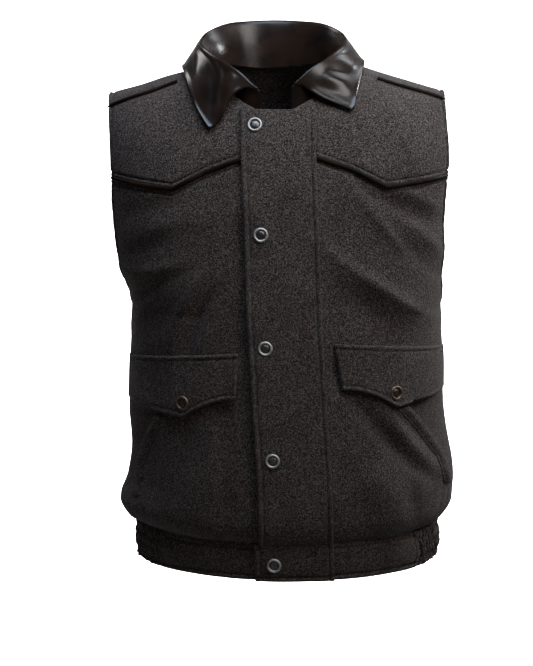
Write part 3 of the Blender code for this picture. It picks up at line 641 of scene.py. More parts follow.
def edge_distance(points, edge):
    """Distance over the cloth of every grid point from one edge of its grid."""
    axis = 0 if edge in ("low", "high") else 1
    steps = np.linalg.norm(np.diff(points, axis=axis), axis=-1)
    run = np.cumsum(steps, axis=axis)
    run = np.concatenate([np.zeros_like(np.take(run, [0], axis=axis)), run], axis=axis)
    return run if edge in ("low", "start") else np.take(run, [-1], axis=axis) - run


def rounding(away, radius):
    return np.sqrt(np.clip(1 - (1 - np.clip(away / radius, 0, 1)) ** 2, 0, 1))


def dressed(points, normals, low, high, edges, fade=1.0):
    """Both faces of a wall whose edges are rounded, rolled into seams or pressed down along stitch lines."""
    shape = points.shape[:2]
    low = np.broadcast_to(low, shape).copy()
    high = np.broadcast_to(high, shape).copy()
    for edge, kind, grooves in edges:
        away = edge_distance(points, edge)
        along = edge_distance(points, "start" if edge in ("low", "high") else "low")
        uneven = 1 + 0.45 * wander(along, ((0.011, 0.4), (0.017, 2.2), (0.029, 4.1)))
        free = {"free": np.ones(shape), "seam": np.zeros(shape)}.get(kind)
        if free is None:
            free = np.clip((points[..., 2] - UNDERARM_Z) / 0.008, 0, 1)
        dip = SEAM_DIP * np.exp(-((away / SEAM_SOFT) ** 2)) * (1 - free)
        middle = (low + high) / 2
        full = 1 - free * (1 - np.clip(rounding(away, RIM_ROUND), 0.12, 1))
        low = middle + (low - middle) * full - dip
        high = middle + (high - middle) * full - dip
        if grooves:
            swell = RIM_SWELL * uneven * np.exp(-(((away - grooves[0] / 2) / 0.002) ** 2))
            high = high + free * fade * swell
        for groove in grooves:
            amount = free if kind == "armhole" else 1.0
            pressed = np.exp(-(((away - groove) / GROOVE_WIDE) ** 2))
            high = high - amount * fade * GROOVE_DEEP * uneven * pressed
    return points + normals * high[..., None], points + normals * low[..., None]


def panel(name, places, low=-WALL, high=0.0, edges=(), fade=1.0):
    points, normals = cloth(places[..., 0], places[..., 1])
    outer, inner = dressed(points, normals, low, high, edges, fade)
    return shell(name, outer, inner, wool)


def stitches(name, lines, material, pitch=STITCH_PITCH, radius=STITCH_RADIUS):
    """Rows of single stitches as one mesh. Each line is a run of points with the cloth's normals there."""
    middles, alongs, lifts = [], [], []
    for points, normals in lines:
        run = run_along(points)
        at = np.arange(pitch / 2, run[-1], pitch)
        fronts = points_at(at + pitch * 0.3, run, points)
        backs = points_at(at - pitch * 0.3, run, points)
        middles.append((fronts + backs) / 2)
        alongs.append((fronts - backs) / 2)
        lifts.append(unit(points_at(at, run, normals)))
    middle, along, lift = (np.concatenate(part) for part in (middles, alongs, lifts))
    beside = unit(np.cross(along, lift))
    turns = np.linspace(0, 2 * math.pi, 6, endpoint=False)[None, :, None]
    spoke = np.cos(turns) * beside[:, None] + np.sin(turns) * lift[:, None]
    rings = []
    for part, size, rise in STITCH_RINGS:
        centre = middle + along * part + lift * radius * rise
        rings.append(centre[:, None] + spoke * radius * size)
    points = np.stack(rings, axis=1)
    count = len(points)
    number = np.arange(count * 30).reshape(count, 5, 6)
    after = np.roll(number, -1, axis=2)
    sides = np.stack([number[:, :-1], after[:, :-1], after[:, 1:], number[:, 1:]], axis=-1)
    faces = sides.reshape(-1, 4).tolist()
    faces += number[:, 0, ::-1].tolist() + number[:, -1].tolist()
    return add_piece(name, points.reshape(-1, 3), faces, [material])


def line_on(places, height):
    """Points and normals of a stitch line at a height over the cloth's face."""
    points, normals = cloth(places[:, 0], places[:, 1])
    return points + normals * np.broadcast_to(height, len(points))[:, None], normals


# Cut pieces


def body_rows(top):
    """Parts of the way from the waistband to a seam, with closer ones where the armhole starts."""
    underarm = UNDERARM_Z + np.array((0.0, 0.0005, 0.0015, 0.003, 0.005, 0.0075))
    rows = fine_ends(BODY_ROWS, 0.45)
    return np.union1d(rows, (underarm - BAND_Z) / (top - BAND_Z))


def build_fronts():
    for name, side in SIDES.items():
        columns = side_columns(side)
        close = 1 - np.array(CLOSE_STEPS)[::-1][1:] / 0.3
        even = columns[np.abs(columns) < 1 - CLOSE_STEPS[-1] / 0.3 - 0.002]
        columns = np.concatenate([even, side * close])
        seam = seam_places(columns)
        body = between(level_places(columns, BAND_Z), seam, body_rows(seam[-1, 1]))
        edges = (("low", "seam", ()), ("high", "seam", (SEAM_GROOVE,)), ("stop", "armhole", (EDGE_GROOVE,)))
        panel(f"front_body_{name}", body, edges=edges)
        corner = neck_corner(side)
        neck = place_above(*neck_plan(np.linspace(0, corner, NECK_COLUMNS)))
        neck[0, 0] = 0.0
        top = np.concatenate([neck, shoulder_places(columns[NECK_COLUMNS:])])
        yoke = between(seam, top, fine_ends(YOKE_ROWS, 0.15))
        edges = (("low", "seam", (SEAM_GROOVE,)), ("high", "seam", ()), ("stop", "free", (EDGE_GROOVE,)))
        panel(f"front_yoke_{name}", yoke, edges=edges)


def back_edges():
    """The back yoke's front and neck edge, and its back seam, column for column."""
    right, left = side_columns(-1)[NECK_COLUMNS:][::-1], side_columns(1)[NECK_COLUMNS:]
    start, stop = neck_corner(-1), neck_corner(1) - 360
    neck = place_above(*neck_plan(np.linspace(start, stop, BACK_NECK_COLUMNS)))
    edge = np.concatenate([shoulder_places(right), neck, shoulder_places(left)])
    outward = np.linspace(BACK_SPREAD, 1, len(left) + 1)[1:]
    middle = np.linspace(-BACK_SPREAD, BACK_SPREAD, BACK_NECK_COLUMNS)
    across = np.concatenate([-outward[::-1], middle, outward])
    return edge, level_places(across, back_walk(BACK_SEAM_Z))


def build_back():
    edge, seam = back_edges()
    yoke = between(edge, seam, fine_ends(BACK_YOKE_ROWS, 0.26), BACK_BEND)
    edges = (
        *(("low", "seam", ()), ("high", "seam", (SEAM_GROOVE,))),
        *(("start", "free", (EDGE_GROOVE,)), ("stop", "free", (EDGE_GROOVE,))),
    )
    panel("back_yoke", yoke, edges=edges)
    hem = level_places(seam[:, 0], back_walk(BAND_Z))
    body = between(hem, seam, body_rows(2 * RIDGE_WALK - seam[0, 1]))
    edges = (
        *(("low", "seam", ()), ("high", "seam", (SEAM_GROOVE,))),
        *(("start", "armhole", (EDGE_GROOVE,)), ("stop", "armhole", (EDGE_GROOVE,))),
    )
    panel("back_body", body, edges=edges)


def build_waistband():
    rows = HEM_Z + (BAND_Z - HEM_Z) * fine_ends(BAND_ROWS, 0.048)
    edges = (("low", "free", (HEM_GROOVE,)), ("high", "seam", (BAND_GROOVE,)))
    for name, side in SIDES.items():
        front = np.linspace(0, side * ELASTIC_START, 60)
        places = np.stack(np.meshgrid(front, rows), axis=-1)
        panel(f"waistband_front_{name}", places, -DOUBLE_WALL, edges=edges)
        turn, heights = np.meshgrid(np.linspace(ELASTIC_START - 1, 1 - ELASTIC_START, 14 * GATHERS + 1), rows)
        walk = np.where(turn > 0, 2 * RIDGE_WALK - heights, heights)
        places = np.stack([side * (1 - np.abs(turn)), walk], axis=-1)
        raised = pucker_height(turn, (heights - HEM_Z) / (BAND_Z - HEM_Z), side)
        panel(
            f"waistband_side_{name}", places, raised - DOUBLE_WALL, raised, edges[:1]
        )
    back = np.linspace(-ELASTIC_START, ELASTIC_START, 110)
    places = np.stack(np.meshgrid(back, 2 * RIDGE_WALK - rows), axis=-1)
    panel("waistband_back", places, -DOUBLE_WALL, edges=edges)


def pucker_height(turn, part, side):
    """Puckers of the elastic: uneven upright ribs with sharp valleys, pinched along the sewn rows."""
    round_side = (turn + 1 - ELASTIC_START) / (2 - 2 * ELASTIC_START)
    sway = 0.14 * np.sin(2 * math.pi * part * 1.5 + 9 * round_side + side)
    uneven = 0.3 * wander(round_side, ((0.21, 0.5 + side), (0.13, 2.2), (0.37, 4.1 - side)))
    beat = np.mod(GATHERS * round_side + uneven + sway, 1.0)
    crest = np.sqrt(np.clip(1 - (2 * beat - 1) ** 2, 0, 1))
    pinch = np.abs(np.sin(math.pi * part * GATHER_BANDS)) ** 0.6
    size = 0.85 + 0.3 * wander(round_side + 0.1 * part, ((0.11, 1.1), (0.07, 3.3 + side), (0.26, 5.0)))
    ends = np.clip(np.minimum(round_side, 1 - round_side) / 0.04, 0, 1)
    return GATHER_HIGH * crest * (0.45 + 0.55 * pinch) * size * (0.15 + 0.85 * ends) - 0.0026 * ends


def build_piping(name, centre):
    """Round leather roll along a line of places, sunk a little between the panels."""
    turns = np.linspace(0, 2 * math.pi, 14, endpoint=False)
    points, normals = cloth(centre[:, 0], centre[:, 1])
    run = run_along(points)
    size = 1 + 0.05 * wander(run, ((0.031, 0.7), (0.019, 2.4), (0.012, 4.4)))
    size = size * (0.45 + 0.55 * eased((run[-1] - run) / 0.01))
    along = unit(np.gradient(points, axis=0))
    beside = unit(np.cross(normals, along))
    rings = []
    for turn in turns:
        side = 0.5 * PIPING_WIDE * math.cos(turn) * size
        rise = PIPING_HIGH * (0.5 + 0.5 * math.sin(turn)) * size - 0.0004 - 0.0012 * (1 - size)
        rings.append(points + beside * side[:, None] + normals * rise[:, None])
    rings = np.stack(rings, axis=1)
    count, around = rings.shape[:2]
    number = np.arange(count * around).reshape(count, around)
    after = np.roll(number, -1, axis=1)
    faces = np.stack([number[:-1], number[1:], after[1:], after[:-1]], axis=-1).reshape(-1, 4).tolist()
    faces += [number[0].tolist(), number[-1, ::-1].tolist()]
    add_piece(name, rings.reshape(-1, 3), faces, [piping], [name])


def spaced(places, step=0.0022):
    """The line of places, filled in at even steps over the cloth."""
    points, _ = cloth(places[:, 0], places[:, 1])
    run = run_along(points)
    at = np.linspace(0, run[-1], max(3, int(run[-1] / step)))
    return points_at(at, run, places)


def build_pipings():
    for name, side in SIDES.items():
        columns = side_columns(side)
        placket_edge = place(side * (PLACKET_HALF + LIFT), YOKE_SEAM[1][1])[0]
        visible = columns[np.abs(columns) > abs(placket_edge) + 0.005]
        build_piping(f"yoke_piping_{name}", spaced(seam_places(np.concatenate([[placket_edge], visible]))))
        start = place(side * SHOULDER_PIPING_START, -0.01)[0]
        outer = columns[np.abs(columns) > abs(start) + 0.005]
        build_piping(f"shoulder_piping_{name}", spaced(shoulder_places(np.concatenate([[start], outer]))))


def placket_stand(offset, z):
    """How far the placket's open edge stands off the cloth, most in the lower half."""
    open_side = np.clip((0.02 - offset) / (0.02 + TAB_RIGHT), 0, 1) ** 1.5
    height = 0.25 + 0.75 * eased((-0.12 - z) / 0.16) - 0.45 * eased((BAND_Z + 0.04 - z) / 0.05)
    uneven = 1 + 0.25 * wander(z, ((0.061, 0.3), (0.093, 2.0), (0.037, 4.0)))
    return PLACKET_STAND * open_side * height * uneven


def build_placket():
    across = -PLACKET_HALF + 2 * PLACKET_HALF * fine_ends(22, 0.091)
    heights = BAND_Z + (PLACKET_TOP_Z - BAND_Z) * fine_ends(150, 0.53)
    edges = (
        *(("start", "free", (EDGE_GROOVE,)), ("stop", "free", (EDGE_GROOVE,))),
        *(("high", "free", ()), ("low", "free", ())),
    )
    spots = np.meshgrid(across, heights)
    low = LIFT + placket_stand(*spots)
    panel("placket", place(*spots), low, low + DOUBLE_WALL, edges)
    across = -TAB_RIGHT + (TAB_RIGHT + PLACKET_HALF) * fine_ends(22, 0.097)
    heights = HEM_Z + (BAND_Z - HEM_Z) * fine_ends(BAND_ROWS, 0.048)
    edges = tuple((edge, "free", (EDGE_GROOVE,)) for edge in ("start", "stop", "low"))
    spots = np.meshgrid(across, heights)
    low = LIFT + placket_stand(*spots)
    panel("placket_band", place(*spots), low, low + DOUBLE_WALL, edges)


def flap_edges(side, columns):
    """Top and pointed lower edge of a pocket flap, column for column, from its inner end to its outer one."""
    shift = FLAP_SHIFT[side]
    top_inner = place(side * FLAP_TOP_INNER[0], FLAP_TOP_INNER[1] + shift)
    top_outer = np.array([side * FLAP_OUTER_ACROSS, FLAP_TOP_OUTER_Z + shift])
    low_inner = place(side * FLAP_LOW_INNER[0], FLAP_LOW_INNER[1] + shift)
    tip = place(side * FLAP_TIP[0], FLAP_TIP[1] + shift)
    low_outer = np.array([side * FLAP_OUTER_ACROSS, FLAP_LOW_OUTER_Z + shift])
    tip_part = (tip[0] - low_inner[0]) / (low_outer[0] - low_inner[0])
    walk = np.zeros(len(columns))
    for shake in FLAP_TIP_ROUND:
        at = np.clip(columns + shake, 0, 1)
        inward = np.clip(at / tip_part, 0, 1) ** FLAP_HOLLOW
        outward = 1 - (1 - np.clip((at - tip_part) / (1 - tip_part), 0, 1)) ** FLAP_SWEEP[side]
        walk += low_inner[1] + (tip[1] - low_inner[1]) * inward + (low_outer[1] - tip[1]) * outward
    low = np.stack(
        [low_inner[0] + (low_outer[0] - low_inner[0]) * columns, walk / len(FLAP_TIP_ROUND)],
        axis=-1,
    )
    top = top_inner + (top_outer - top_inner) * columns[:, None]
    return top, low


def build_flap(name, side):
    columns = fine_ends(48, 0.155)
    top, low = flap_edges(side, columns)
    parts = fine_ends(26, 0.06)
    places = between(top, low, parts)
    down = np.broadcast_to(parts[:, None], places.shape[:2])
    stand = FLAP_STAND * down**2 * (0.7 + 0.3 * wander(columns, ((0.9, 0.4), (0.37, 2.0), (0.23, 4.0))))
    stand = stand * (1 - 0.9 * columns**3)
    outer_end = eased((columns - 0.72) / 0.2)
    low_face = LIFT * (1 - 0.8 * outer_end) + stand
    high_face = low_face + DOUBLE_WALL * (1 - 0.35 * outer_end)
    edges = (
        *(("low", "free", (FLAP_TOP_GROOVE,)), ("high", "free", (FLAP_GROOVE,))),
        *(("start", "free", (FLAP_GROOVE,)), ("stop", "free", ())),
    )
    panel(f"pocket_flap_{name}", places, low_face, high_face, edges, 0.55 * (1 - outer_end))
    snap_z = FLAP_TIP[1] + FLAP_SHIFT[side] + FLAP_SNAP_RISE
    metals = (flap_ring, flap_dome)
    build_snap(f"flap_snap_{name}", side * FLAP_TIP[0], snap_z, metals, FLAP_SNAP_LIFT)


def welt_edge(side, count):
    z = np.linspace(WELT_HEIGHTS[0], WELT_HEIGHTS[-1], count) + FLAP_SHIFT[side]
    return place(side * np.interp(FLAP_SHIFT[side] - z, -WELT_HEIGHTS, WELT_OFFSETS[side]), z)


def build_welt(name, side):
    """Welt of a slanted pocket, flush with the front where it is sewn on and standing off at the opening."""
    edge = welt_edge(side, 60)
    inner = edge - np.array([side * WELT_ACROSS, 0.0])
    parts = fine_ends(6, 0.022)
    sunk = 0.003 * (1 - eased(parts / 0.7))[:, None] + np.zeros(len(edge))
    edges = (("low", "free", (0.0036,)), ("high", "free", ()), ("start", "free", ()), ("stop", "free", ()))
    grid = between(inner, edge, parts)
    panel(
        f"pocket_welt_{name}", grid, LIFT - sunk, LIFT + DOUBLE_WALL - sunk, edges, 0.5
    )


def turned(profile, frame_axes, base, sides=40):
    """Rings of a profile turned about the cloth's normal."""
    side, up, normal = frame_axes
    turns = np.linspace(0, 2 * math.pi, sides, endpoint=False)
    spoke = np.cos(turns)[:, None] * side + np.sin(turns)[:, None] * up
    return np.stack([base + radius * spoke + height * normal for radius, height in profile])


def build_snap(name, offset, z, materials, extra=0.0):
    """Ring snap with a dome in it, on a doubled piece."""
    across, walk = place(offset, z)
    point, normal = cloth(across, walk)
    base = point + normal * (LIFT + DOUBLE_WALL + extra)
    side = unit(np.cross([0.0, 0.0, 1.0], normal))
    axes = (side, np.cross(normal, side), normal)
    rings = np.concatenate([turned(RING_PROFILE, axes, base), turned(DOME_PROFILE[1:], axes, base)])
    count, around = rings.shape[:2]
    number = np.arange(count * around).reshape(count, around)
    after = np.roll(number, -1, axis=1)
    faces = np.stack([number[:-1], after[:-1], after[1:], number[1:]], axis=-1).reshape(-1, 4).tolist()
    faces += [number[-1].tolist(), number[0, ::-1].tolist()]
    piece = add_piece(name, rings.reshape(-1, 3), faces, materials, [name])
    first_dome = (len(RING_PROFILE) - 1) * around
    for index in range(first_dome, len(faces) - 1):
        piece.data.polygons[index].material_index = 1


# Collar


def smooth_path(path, at):
    """Rounded curve through the knees of every station."""
    last = path.shape[1] - 1
    first = np.clip(at.astype(int), 0, last - 1)
    part = (at - first)[None, :, None]
    before = path[:, np.maximum(first - 1, 0)]
    start, stop = path[:, first], path[:, first + 1]
    after = path[:, np.minimum(first + 2, last)]
    leave, arrive = (stop - before) / 2, (after - start) / 2
    ease = part * part * (3 - 2 * part)
    return start + (stop - start) * ease + leave * part * (1 - part) ** 2 - arrive * part**2 * (1 - part)


def collar_grid():
    """Middle of the collar's leather: stations round the neck by steps from sewn foot to leaf's edge."""
    last = len(COLLAR_ROWS) - 1
    stations = np.linspace(0, last, COLLAR_FINE)
    close = np.array(COLLAR_CLOSE)
    steps = np.concatenate([np.linspace(0, 5.2, 44), 6 - close[:-1][::-1] * 0.8])
    knots = np.arange(float(len(COLLAR_ROWS)))
    at = {name: smooth(stations, knots, values) for name, values in COLLAR.items()}
    foot, _ = cloth(*place_above(*neck_plan(-at["sewn"])).T)
    outward = unit(np.stack([foot[:, 0] - NECK_X, foot[:, 1] - NECK_Y, np.zeros(len(foot))], axis=-1))
    foot = foot - outward * COLLAR_INSET - np.array([0, 0, COLLAR_DROP])
    edge_plan = neck_plan(-at["leaf"], at["reach"], at["reach"])
    edge, lifted = cloth(*place_above(*edge_plan).T)
    edge = edge + lifted * at["lift"][:, None]
    toward = unit((edge - foot) * np.array([1.0, 1.0, 0.0]))
    crown = foot * np.array([1.0, 1.0, 0.0]) + outward * at["spread"][:, None]
    crown[:, 2] = at["roll_z"]
    knees = (
        foot,
        foot + (crown - foot) * 0.55 - toward * 0.0005,
        crown - [0, 0, 0.005] + toward * 0.0005,
        crown + toward * ROLL_OUT * 0.55,
        crown - [0, 0, 0.005] + toward * ROLL_OUT * 1.25,
        crown - [0, 0, 0.004] + toward * ROLL_OUT + (edge - crown) * 0.45,
        edge,
    )
    fine = smooth_path(np.stack(knees, axis=1), steps)
    even = np.concatenate([close, np.linspace(1, last - 1, 170), last - close[::-1]])
    grid, where = cut_ends(fine, stations, steps, even)
    normals = unit(np.cross(np.gradient(grid, axis=1), np.gradient(grid, axis=0)))
    folds = np.zeros(grid.shape[:2])
    for start, low, stop, high, wide, height in COLLAR_FOLDS:
        part = (steps - low) / (high - low)
        line = start + (stop - start) * part
        strength = eased(part / 0.3) * eased((1 - part) / 0.3)
        folds += height * strength * np.exp(-(((where - line) / wide) ** 2))
    return grid + normals * folds[..., None], normals


def cut_ends(fine, stations, steps, even):
    """The collar's grid, with the leaves' front edges cut hollow, and the station of every point."""
    last = stations[-1]
    from_right = np.clip(1 - even / COLLAR_CUT_FADE, 0, 1)
    from_left = np.clip(1 - (last - even) / COLLAR_CUT_FADE, 0, 1)
    grid = np.empty((len(even), len(steps), 3))
    where = np.empty((len(even), len(steps)))
    for column, step in enumerate(steps):
        right, left = (smooth(step, COLLAR_CUT[0], amounts) for amounts in COLLAR_CUT[1:])
        where[:, column] = even + right * from_right - left * from_left
        grid[:, column] = points_at(where[:, column], stations, fine[:, column])
    return grid, where


def build_collar():
    """Stand, roll and fall of the leather collar in one wall with a turned, stitched edge."""
    grid, normals = collar_grid()
    away = edge_distance(grid, "stop")
    fall = np.clip((edge_distance(grid, "start") - 0.045) / 0.01, 0, 1)
    ends = np.minimum(edge_distance(grid, "low"), edge_distance(grid, "high"))
    away = np.minimum(away, ends + 0.2 * (1 - fall))
    thick = LEATHER / 2 + 0.0011 * np.exp(-(((away - 0.002) / 0.0016) ** 2))
    thick = thick * np.clip(rounding(np.minimum(edge_distance(grid, "stop"), ends), 0.002), 0.15, 1)
    pressed = 0.0014 * np.exp(-(((away - 0.0046) / 0.0012) ** 2))
    outer = grid + normals * (thick - pressed)[..., None]
    inner = grid - normals * thick[..., None]
    shell("collar", outer, inner, leather)
    return outer, normals, away


# Stitch lines


def grid_line(places, height, edge, away):
    """Line over a grid of places at a set distance from one of its edges."""
    points, normals = cloth(places[..., 0], places[..., 1])
    run = edge_distance(points, edge)
    if edge in ("start", "stop"):
        lines = zip(run, points, normals)
    else:
        lines = zip(run.T, points.transpose(1, 0, 2), normals.transpose(1, 0, 2))
    found = []
    for far, spots, leans in lines:
        order = np.argsort(far)
        found.append([points_at(away, far[order], values[order]) for values in (spots, leans)])
    found = np.array(found)
    lean = unit(found[:, 1])
    return found[:, 0] + lean * height, lean


def build_stitches():
    top = LIFT + DOUBLE_WALL - GROOVE_DEEP + STITCH_RADIUS * 0.5
    flat = STITCH_RADIUS * 0.5 - GROOVE_DEEP
    heights = np.linspace(BAND_Z + 0.001, PLACKET_TOP_Z - 0.002, 160)
    tab = np.linspace(HEM_Z + 0.003, BAND_Z - 0.001, 30)
    hem = np.linspace(-TAB_RIGHT + 0.004, PLACKET_HALF - 0.004, 40)
    lines = []
    for offset, z in (
        *((-PLACKET_HALF + EDGE_GROOVE, heights), (PLACKET_HALF - EDGE_GROOVE, heights)),
        *((-TAB_RIGHT + EDGE_GROOVE, tab), (PLACKET_HALF - EDGE_GROOVE, tab), (hem, HEM_Z + EDGE_GROOVE)),
    ):
        lines.append(line_on(place(offset, z), top + placket_stand(offset, z)))
    stitches("placket_stitches", lines, thread)
    lines = []
    for side in SIDES.values():
        columns = np.linspace(0.045, 0.955, 60)
        upper, lower = flap_edges(side, columns)
        places = between(upper, lower, np.linspace(0, 1, 20))
        lines.append(grid_line(places, top, "low", FLAP_TOP_GROOVE))
        points, normals = grid_line(places, top, "high", FLAP_GROOVE)
        lines.append((points + normals * FLAP_STAND * 0.8, normals))
        welt = welt_edge(side, 40)[2:-2]
        lines.append(line_on(welt - np.array([side * 0.84 * WELT_ACROSS, 0.0]), top - 0.0024))
    stitches("pocket_stitches", lines, thread)
    lines = []
    for side in SIDES.values():
        columns = side_columns(side)
        seam = seam_places(columns[np.abs(columns) > 0.2])
        for drop in (-SEAM_STITCH, SEAM_STITCH):
            lines.append(line_on(spaced(seam + np.array([0.0, drop]), 0.004), flat))
        front = np.linspace(side * 0.22, side * 0.59, 60)
        lines.append(line_on(level_places(front, HEM_Z + HEM_GROOVE), flat))
        lines.append(line_on(level_places(front, BAND_Z - BAND_GROOVE), flat))
    back = np.linspace(-0.59, 0.59, 120)
    lines.append(line_on(level_places(back, 2 * RIDGE_WALK - HEM_Z - HEM_GROOVE), flat))
    lines.append(line_on(level_places(back, 2 * RIDGE_WALK - BAND_Z + BAND_GROOVE), flat))
    back = np.linspace(-0.98, 0.98, 160)
    lines.append(line_on(level_places(back, back_walk(BACK_SEAM_Z) + HEM_GROOVE), flat))
    stitches("seam_stitches", lines, thread)


def build_armhole_stitches():
    flat = STITCH_RADIUS * 0.5 - GROOVE_DEEP
    lines = []
    for side in SIDES.values():
        walk = np.linspace(UNDERARM_Z + 0.01, 2 * RIDGE_WALK - UNDERARM_Z - 0.01, 260)
        inward = np.linspace(1, 0.9, 14)
        places = np.stack(np.meshgrid(side * inward, walk), axis=-1)
        lines.append(grid_line(places, flat, "start", EDGE_GROOVE))
    stitches("armhole_stitches", lines, thread)


def build_collar_stitches(outer, normals, away):
    """Line of stitches a little inside the leaf's edge and its two front ends."""
    target = 0.0042
    rows = outer.shape[0]
    line, lean = [], []
    for row in range(9, rows - 9):
        order = slice(-12, None)
        far = away[row, order][::-1]
        line.append(points_at(target, far, outer[row, order][::-1]))
        lean.append(normals[row, -6])
    line, lean = np.array(line), np.array(lean)
    lines = [(line + lean * 0.0001, lean)]
    for row in (6, rows - 7):
        along = outer[row, 30:-7]
        lines.append((along + normals[row, 30:-7] * 0.0001, normals[row, 30:-7]))
    stitches("collar_stitches", lines, leather_thread, 0.0034, 0.0003)


# Materials


def new_material(name):
    made = bpy.data.materials.new(name)
    made.use_nodes = True
    tree = made.node_tree
    coords = tree.nodes.new("ShaderNodeTexCoord").outputs["Object"]
    return made, tree, tree.nodes["Principled BSDF"], coords


def fill(tree, node, values):
    """Set inputs of a node, each to a plain value or to a link from another node."""
    for name, value in values.items():
        if isinstance(value, bpy.types.NodeSocket):
            tree.links.new(value, node.inputs[name])
        else:
            node.inputs[name].default_value = value


def add_node(tree, kind, values, output=0, **settings):
    node = tree.nodes.new(f"ShaderNode{kind}")
    for name, value in settings.items():
        setattr(node, name, value)
    fill(tree, node, values)
    return node.outputs[output]


def stretched(tree, coords, turn, scale):
    return add_node(tree, "Mapping", {"Rotation": turn, "Scale": scale, "Vector": coords})


def noise(tree, coords, scale, detail=2.0, rough=0.5, twist=0.0):
    values = {"Scale": scale, "Detail": detail, "Roughness": rough, "Distortion": twist, "Vector": coords}
    return add_node(tree, "TexNoise", values, "Fac")


def sums(tree, kind, first, second):
    return add_node(tree, "Math", {0: first, 1: second}, operation=kind)


def ramp(tree, factor, stops):
    node = tree.nodes.new("ShaderNodeValToRGB")
    stop_list = node.color_ramp.elements
    while len(stop_list) < len(stops):
        stop_list.new(0.5)
    for element, (position, colour) in zip(stop_list, stops):
        element.position = position
        element.color = (*colour, 1.0)
    tree.links.new(factor, node.inputs["Fac"])
    return node.outputs["Color"]


def grey(value):
    return (value, value, value)


def mixed(tree, factor, first, second):
    return add_node(tree, "Mix", {0: factor, 6: first, 7: (*second, 1.0)}, 2, data_type="RGBA")


def bump(tree, height, distance, strength, shader):
    values = {"Strength": strength, "Distance": distance, "Height": height}
    fill(tree, shader, {"Normal": add_node(tree, "Bump", values, "Normal")})


def make_wool():
    """Heather wool: dark ground, specks of nap, pale and brown fibres lying every way, and a soft sheen."""
    made, tree, shader, coords = new_material("heather_wool")
    specks = noise(tree, coords, 620.0, 2.0, 0.6, 0.3)
    grain = noise(tree, coords, 1150.0, 2.0, 0.6)
    slow = noise(tree, coords, 26.0, 2.0, 0.5)
    fibres = None
    for turn, scale in (((0.3, 0.5, 0.2), (1900.0, 260.0, 700.0)), ((0.1, 1.3, 0.9), (300.0, 700.0, 1800.0))):
        strand = noise(tree, stretched(tree, coords, turn, scale), 1.0, 1.0, 0.5, 0.8)
        fibres = strand if fibres is None else sums(tree, "MAXIMUM", fibres, strand)
    field = sums(tree, "ADD", sums(tree, "MULTIPLY", specks, 0.68), sums(tree, "MULTIPLY", grain, 0.28))
    field = sums(tree, "ADD", field, sums(tree, "MULTIPLY", slow, 0.04))
    ground = ramp(tree, field, WOOL_STOPS)
    pale = ramp(tree, fibres, ((0.6, grey(0.0)), (0.74, grey(1.0))))
    colour = mixed(tree, sums(tree, "MULTIPLY", pale, 0.4), ground, (0.05, 0.044, 0.041))
    brown = noise(tree, stretched(tree, coords, (0.7, 0.2, 0.5), (700.0, 260.0, 500.0)), 1.0, 1.0, 0.5, 0.5)
    brown = ramp(tree, brown, ((0.58, grey(0.0)), (0.68, grey(1.0))))
    colour = mixed(tree, sums(tree, "MULTIPLY", brown, 0.45), colour, (0.0232, 0.0136, 0.0092))
    fill(tree, shader, {"Base Color": colour, "Roughness": 0.95, "Specular IOR Level": 0.05})
    fill(tree, shader, {"Sheen Weight": 0.024, "Sheen Roughness": 0.55, "Sheen Tint": (0.8, 0.82, 0.9, 1.0)})
    relief = sums(tree, "ADD", sums(tree, "MULTIPLY", specks, 0.7), sums(tree, "MULTIPLY", fibres, 0.5))
    bump(tree, relief, 0.0012, 0.85, shader)
    return made


def make_leather(name, gloss, shine):
    """Soft black-brown leather: fine pebbled grain, faint creases, and gloss that comes and goes."""
    made, tree, shader, coords = new_material(name)
    cells = add_node(tree, "TexVoronoi", {"Scale": 1500.0, "Vector": coords}, "Distance", feature="F1")
    slow = noise(tree, coords, 22.0, 2.0, 0.5, 0.4)
    creases = noise(tree, coords, 160.0, 2.0, 0.5, 0.4)
    colour = ramp(tree, slow, ((0.34, (0.001, 0.0007, 0.0006)), (0.66, (0.0056, 0.0027, 0.0016))))
    rough = ramp(tree, slow, ((0.35, grey(gloss * 0.85)), (0.65, grey(gloss * 1.15))))
    fill(tree, shader, {"Base Color": colour, "Roughness": rough, "Specular IOR Level": shine})
    relief = sums(tree, "ADD", sums(tree, "MULTIPLY", cells, 0.1), creases)
    bump(tree, relief, 0.0008, 0.1, shader)
    return made


def make_metal(name, bright, dull, rough, scale=420.0):
    made, tree, shader, coords = new_material(name)
    wear = noise(tree, coords, scale, 3.0, 0.6)
    colour = ramp(tree, wear, ((0.35, dull), (0.65, bright)))
    worn = ramp(tree, wear, ((0.3, grey(rough * 0.8)), (0.7, grey(rough * 1.3))))
    fill(tree, shader, {"Base Color": colour, "Roughness": worn, "Metallic": 1.0})
    return made


def make_thread(name, dark, light):
    made, tree, shader, coords = new_material(name)
    twist = noise(tree, coords, 1500.0, 2.0, 0.6)
    fill(tree, shader, {"Base Color": ramp(tree, twist, ((0.35, dark), (0.65, light))), "Roughness": 0.75})
    return made


# Studio and camera


def add_light(name, spot, target, wide, high, power, colour, spread):
    lamp = bpy.data.lights.new(name, "AREA")
    lamp.shape = "RECTANGLE"
    lamp.size = wide
    lamp.size_y = high
    lamp.energy = power
    lamp.spread = math.radians(spread)
    lamp.color = colour
    light = bpy.data.objects.new(name, lamp)
    light.location = spot
    aim = np.array(target) - np.array(spot)
    light.rotation_euler = mathutils.Vector(aim).to_track_quat("-Z", "Y").to_euler()
    bpy.context.collection.objects.link(light)


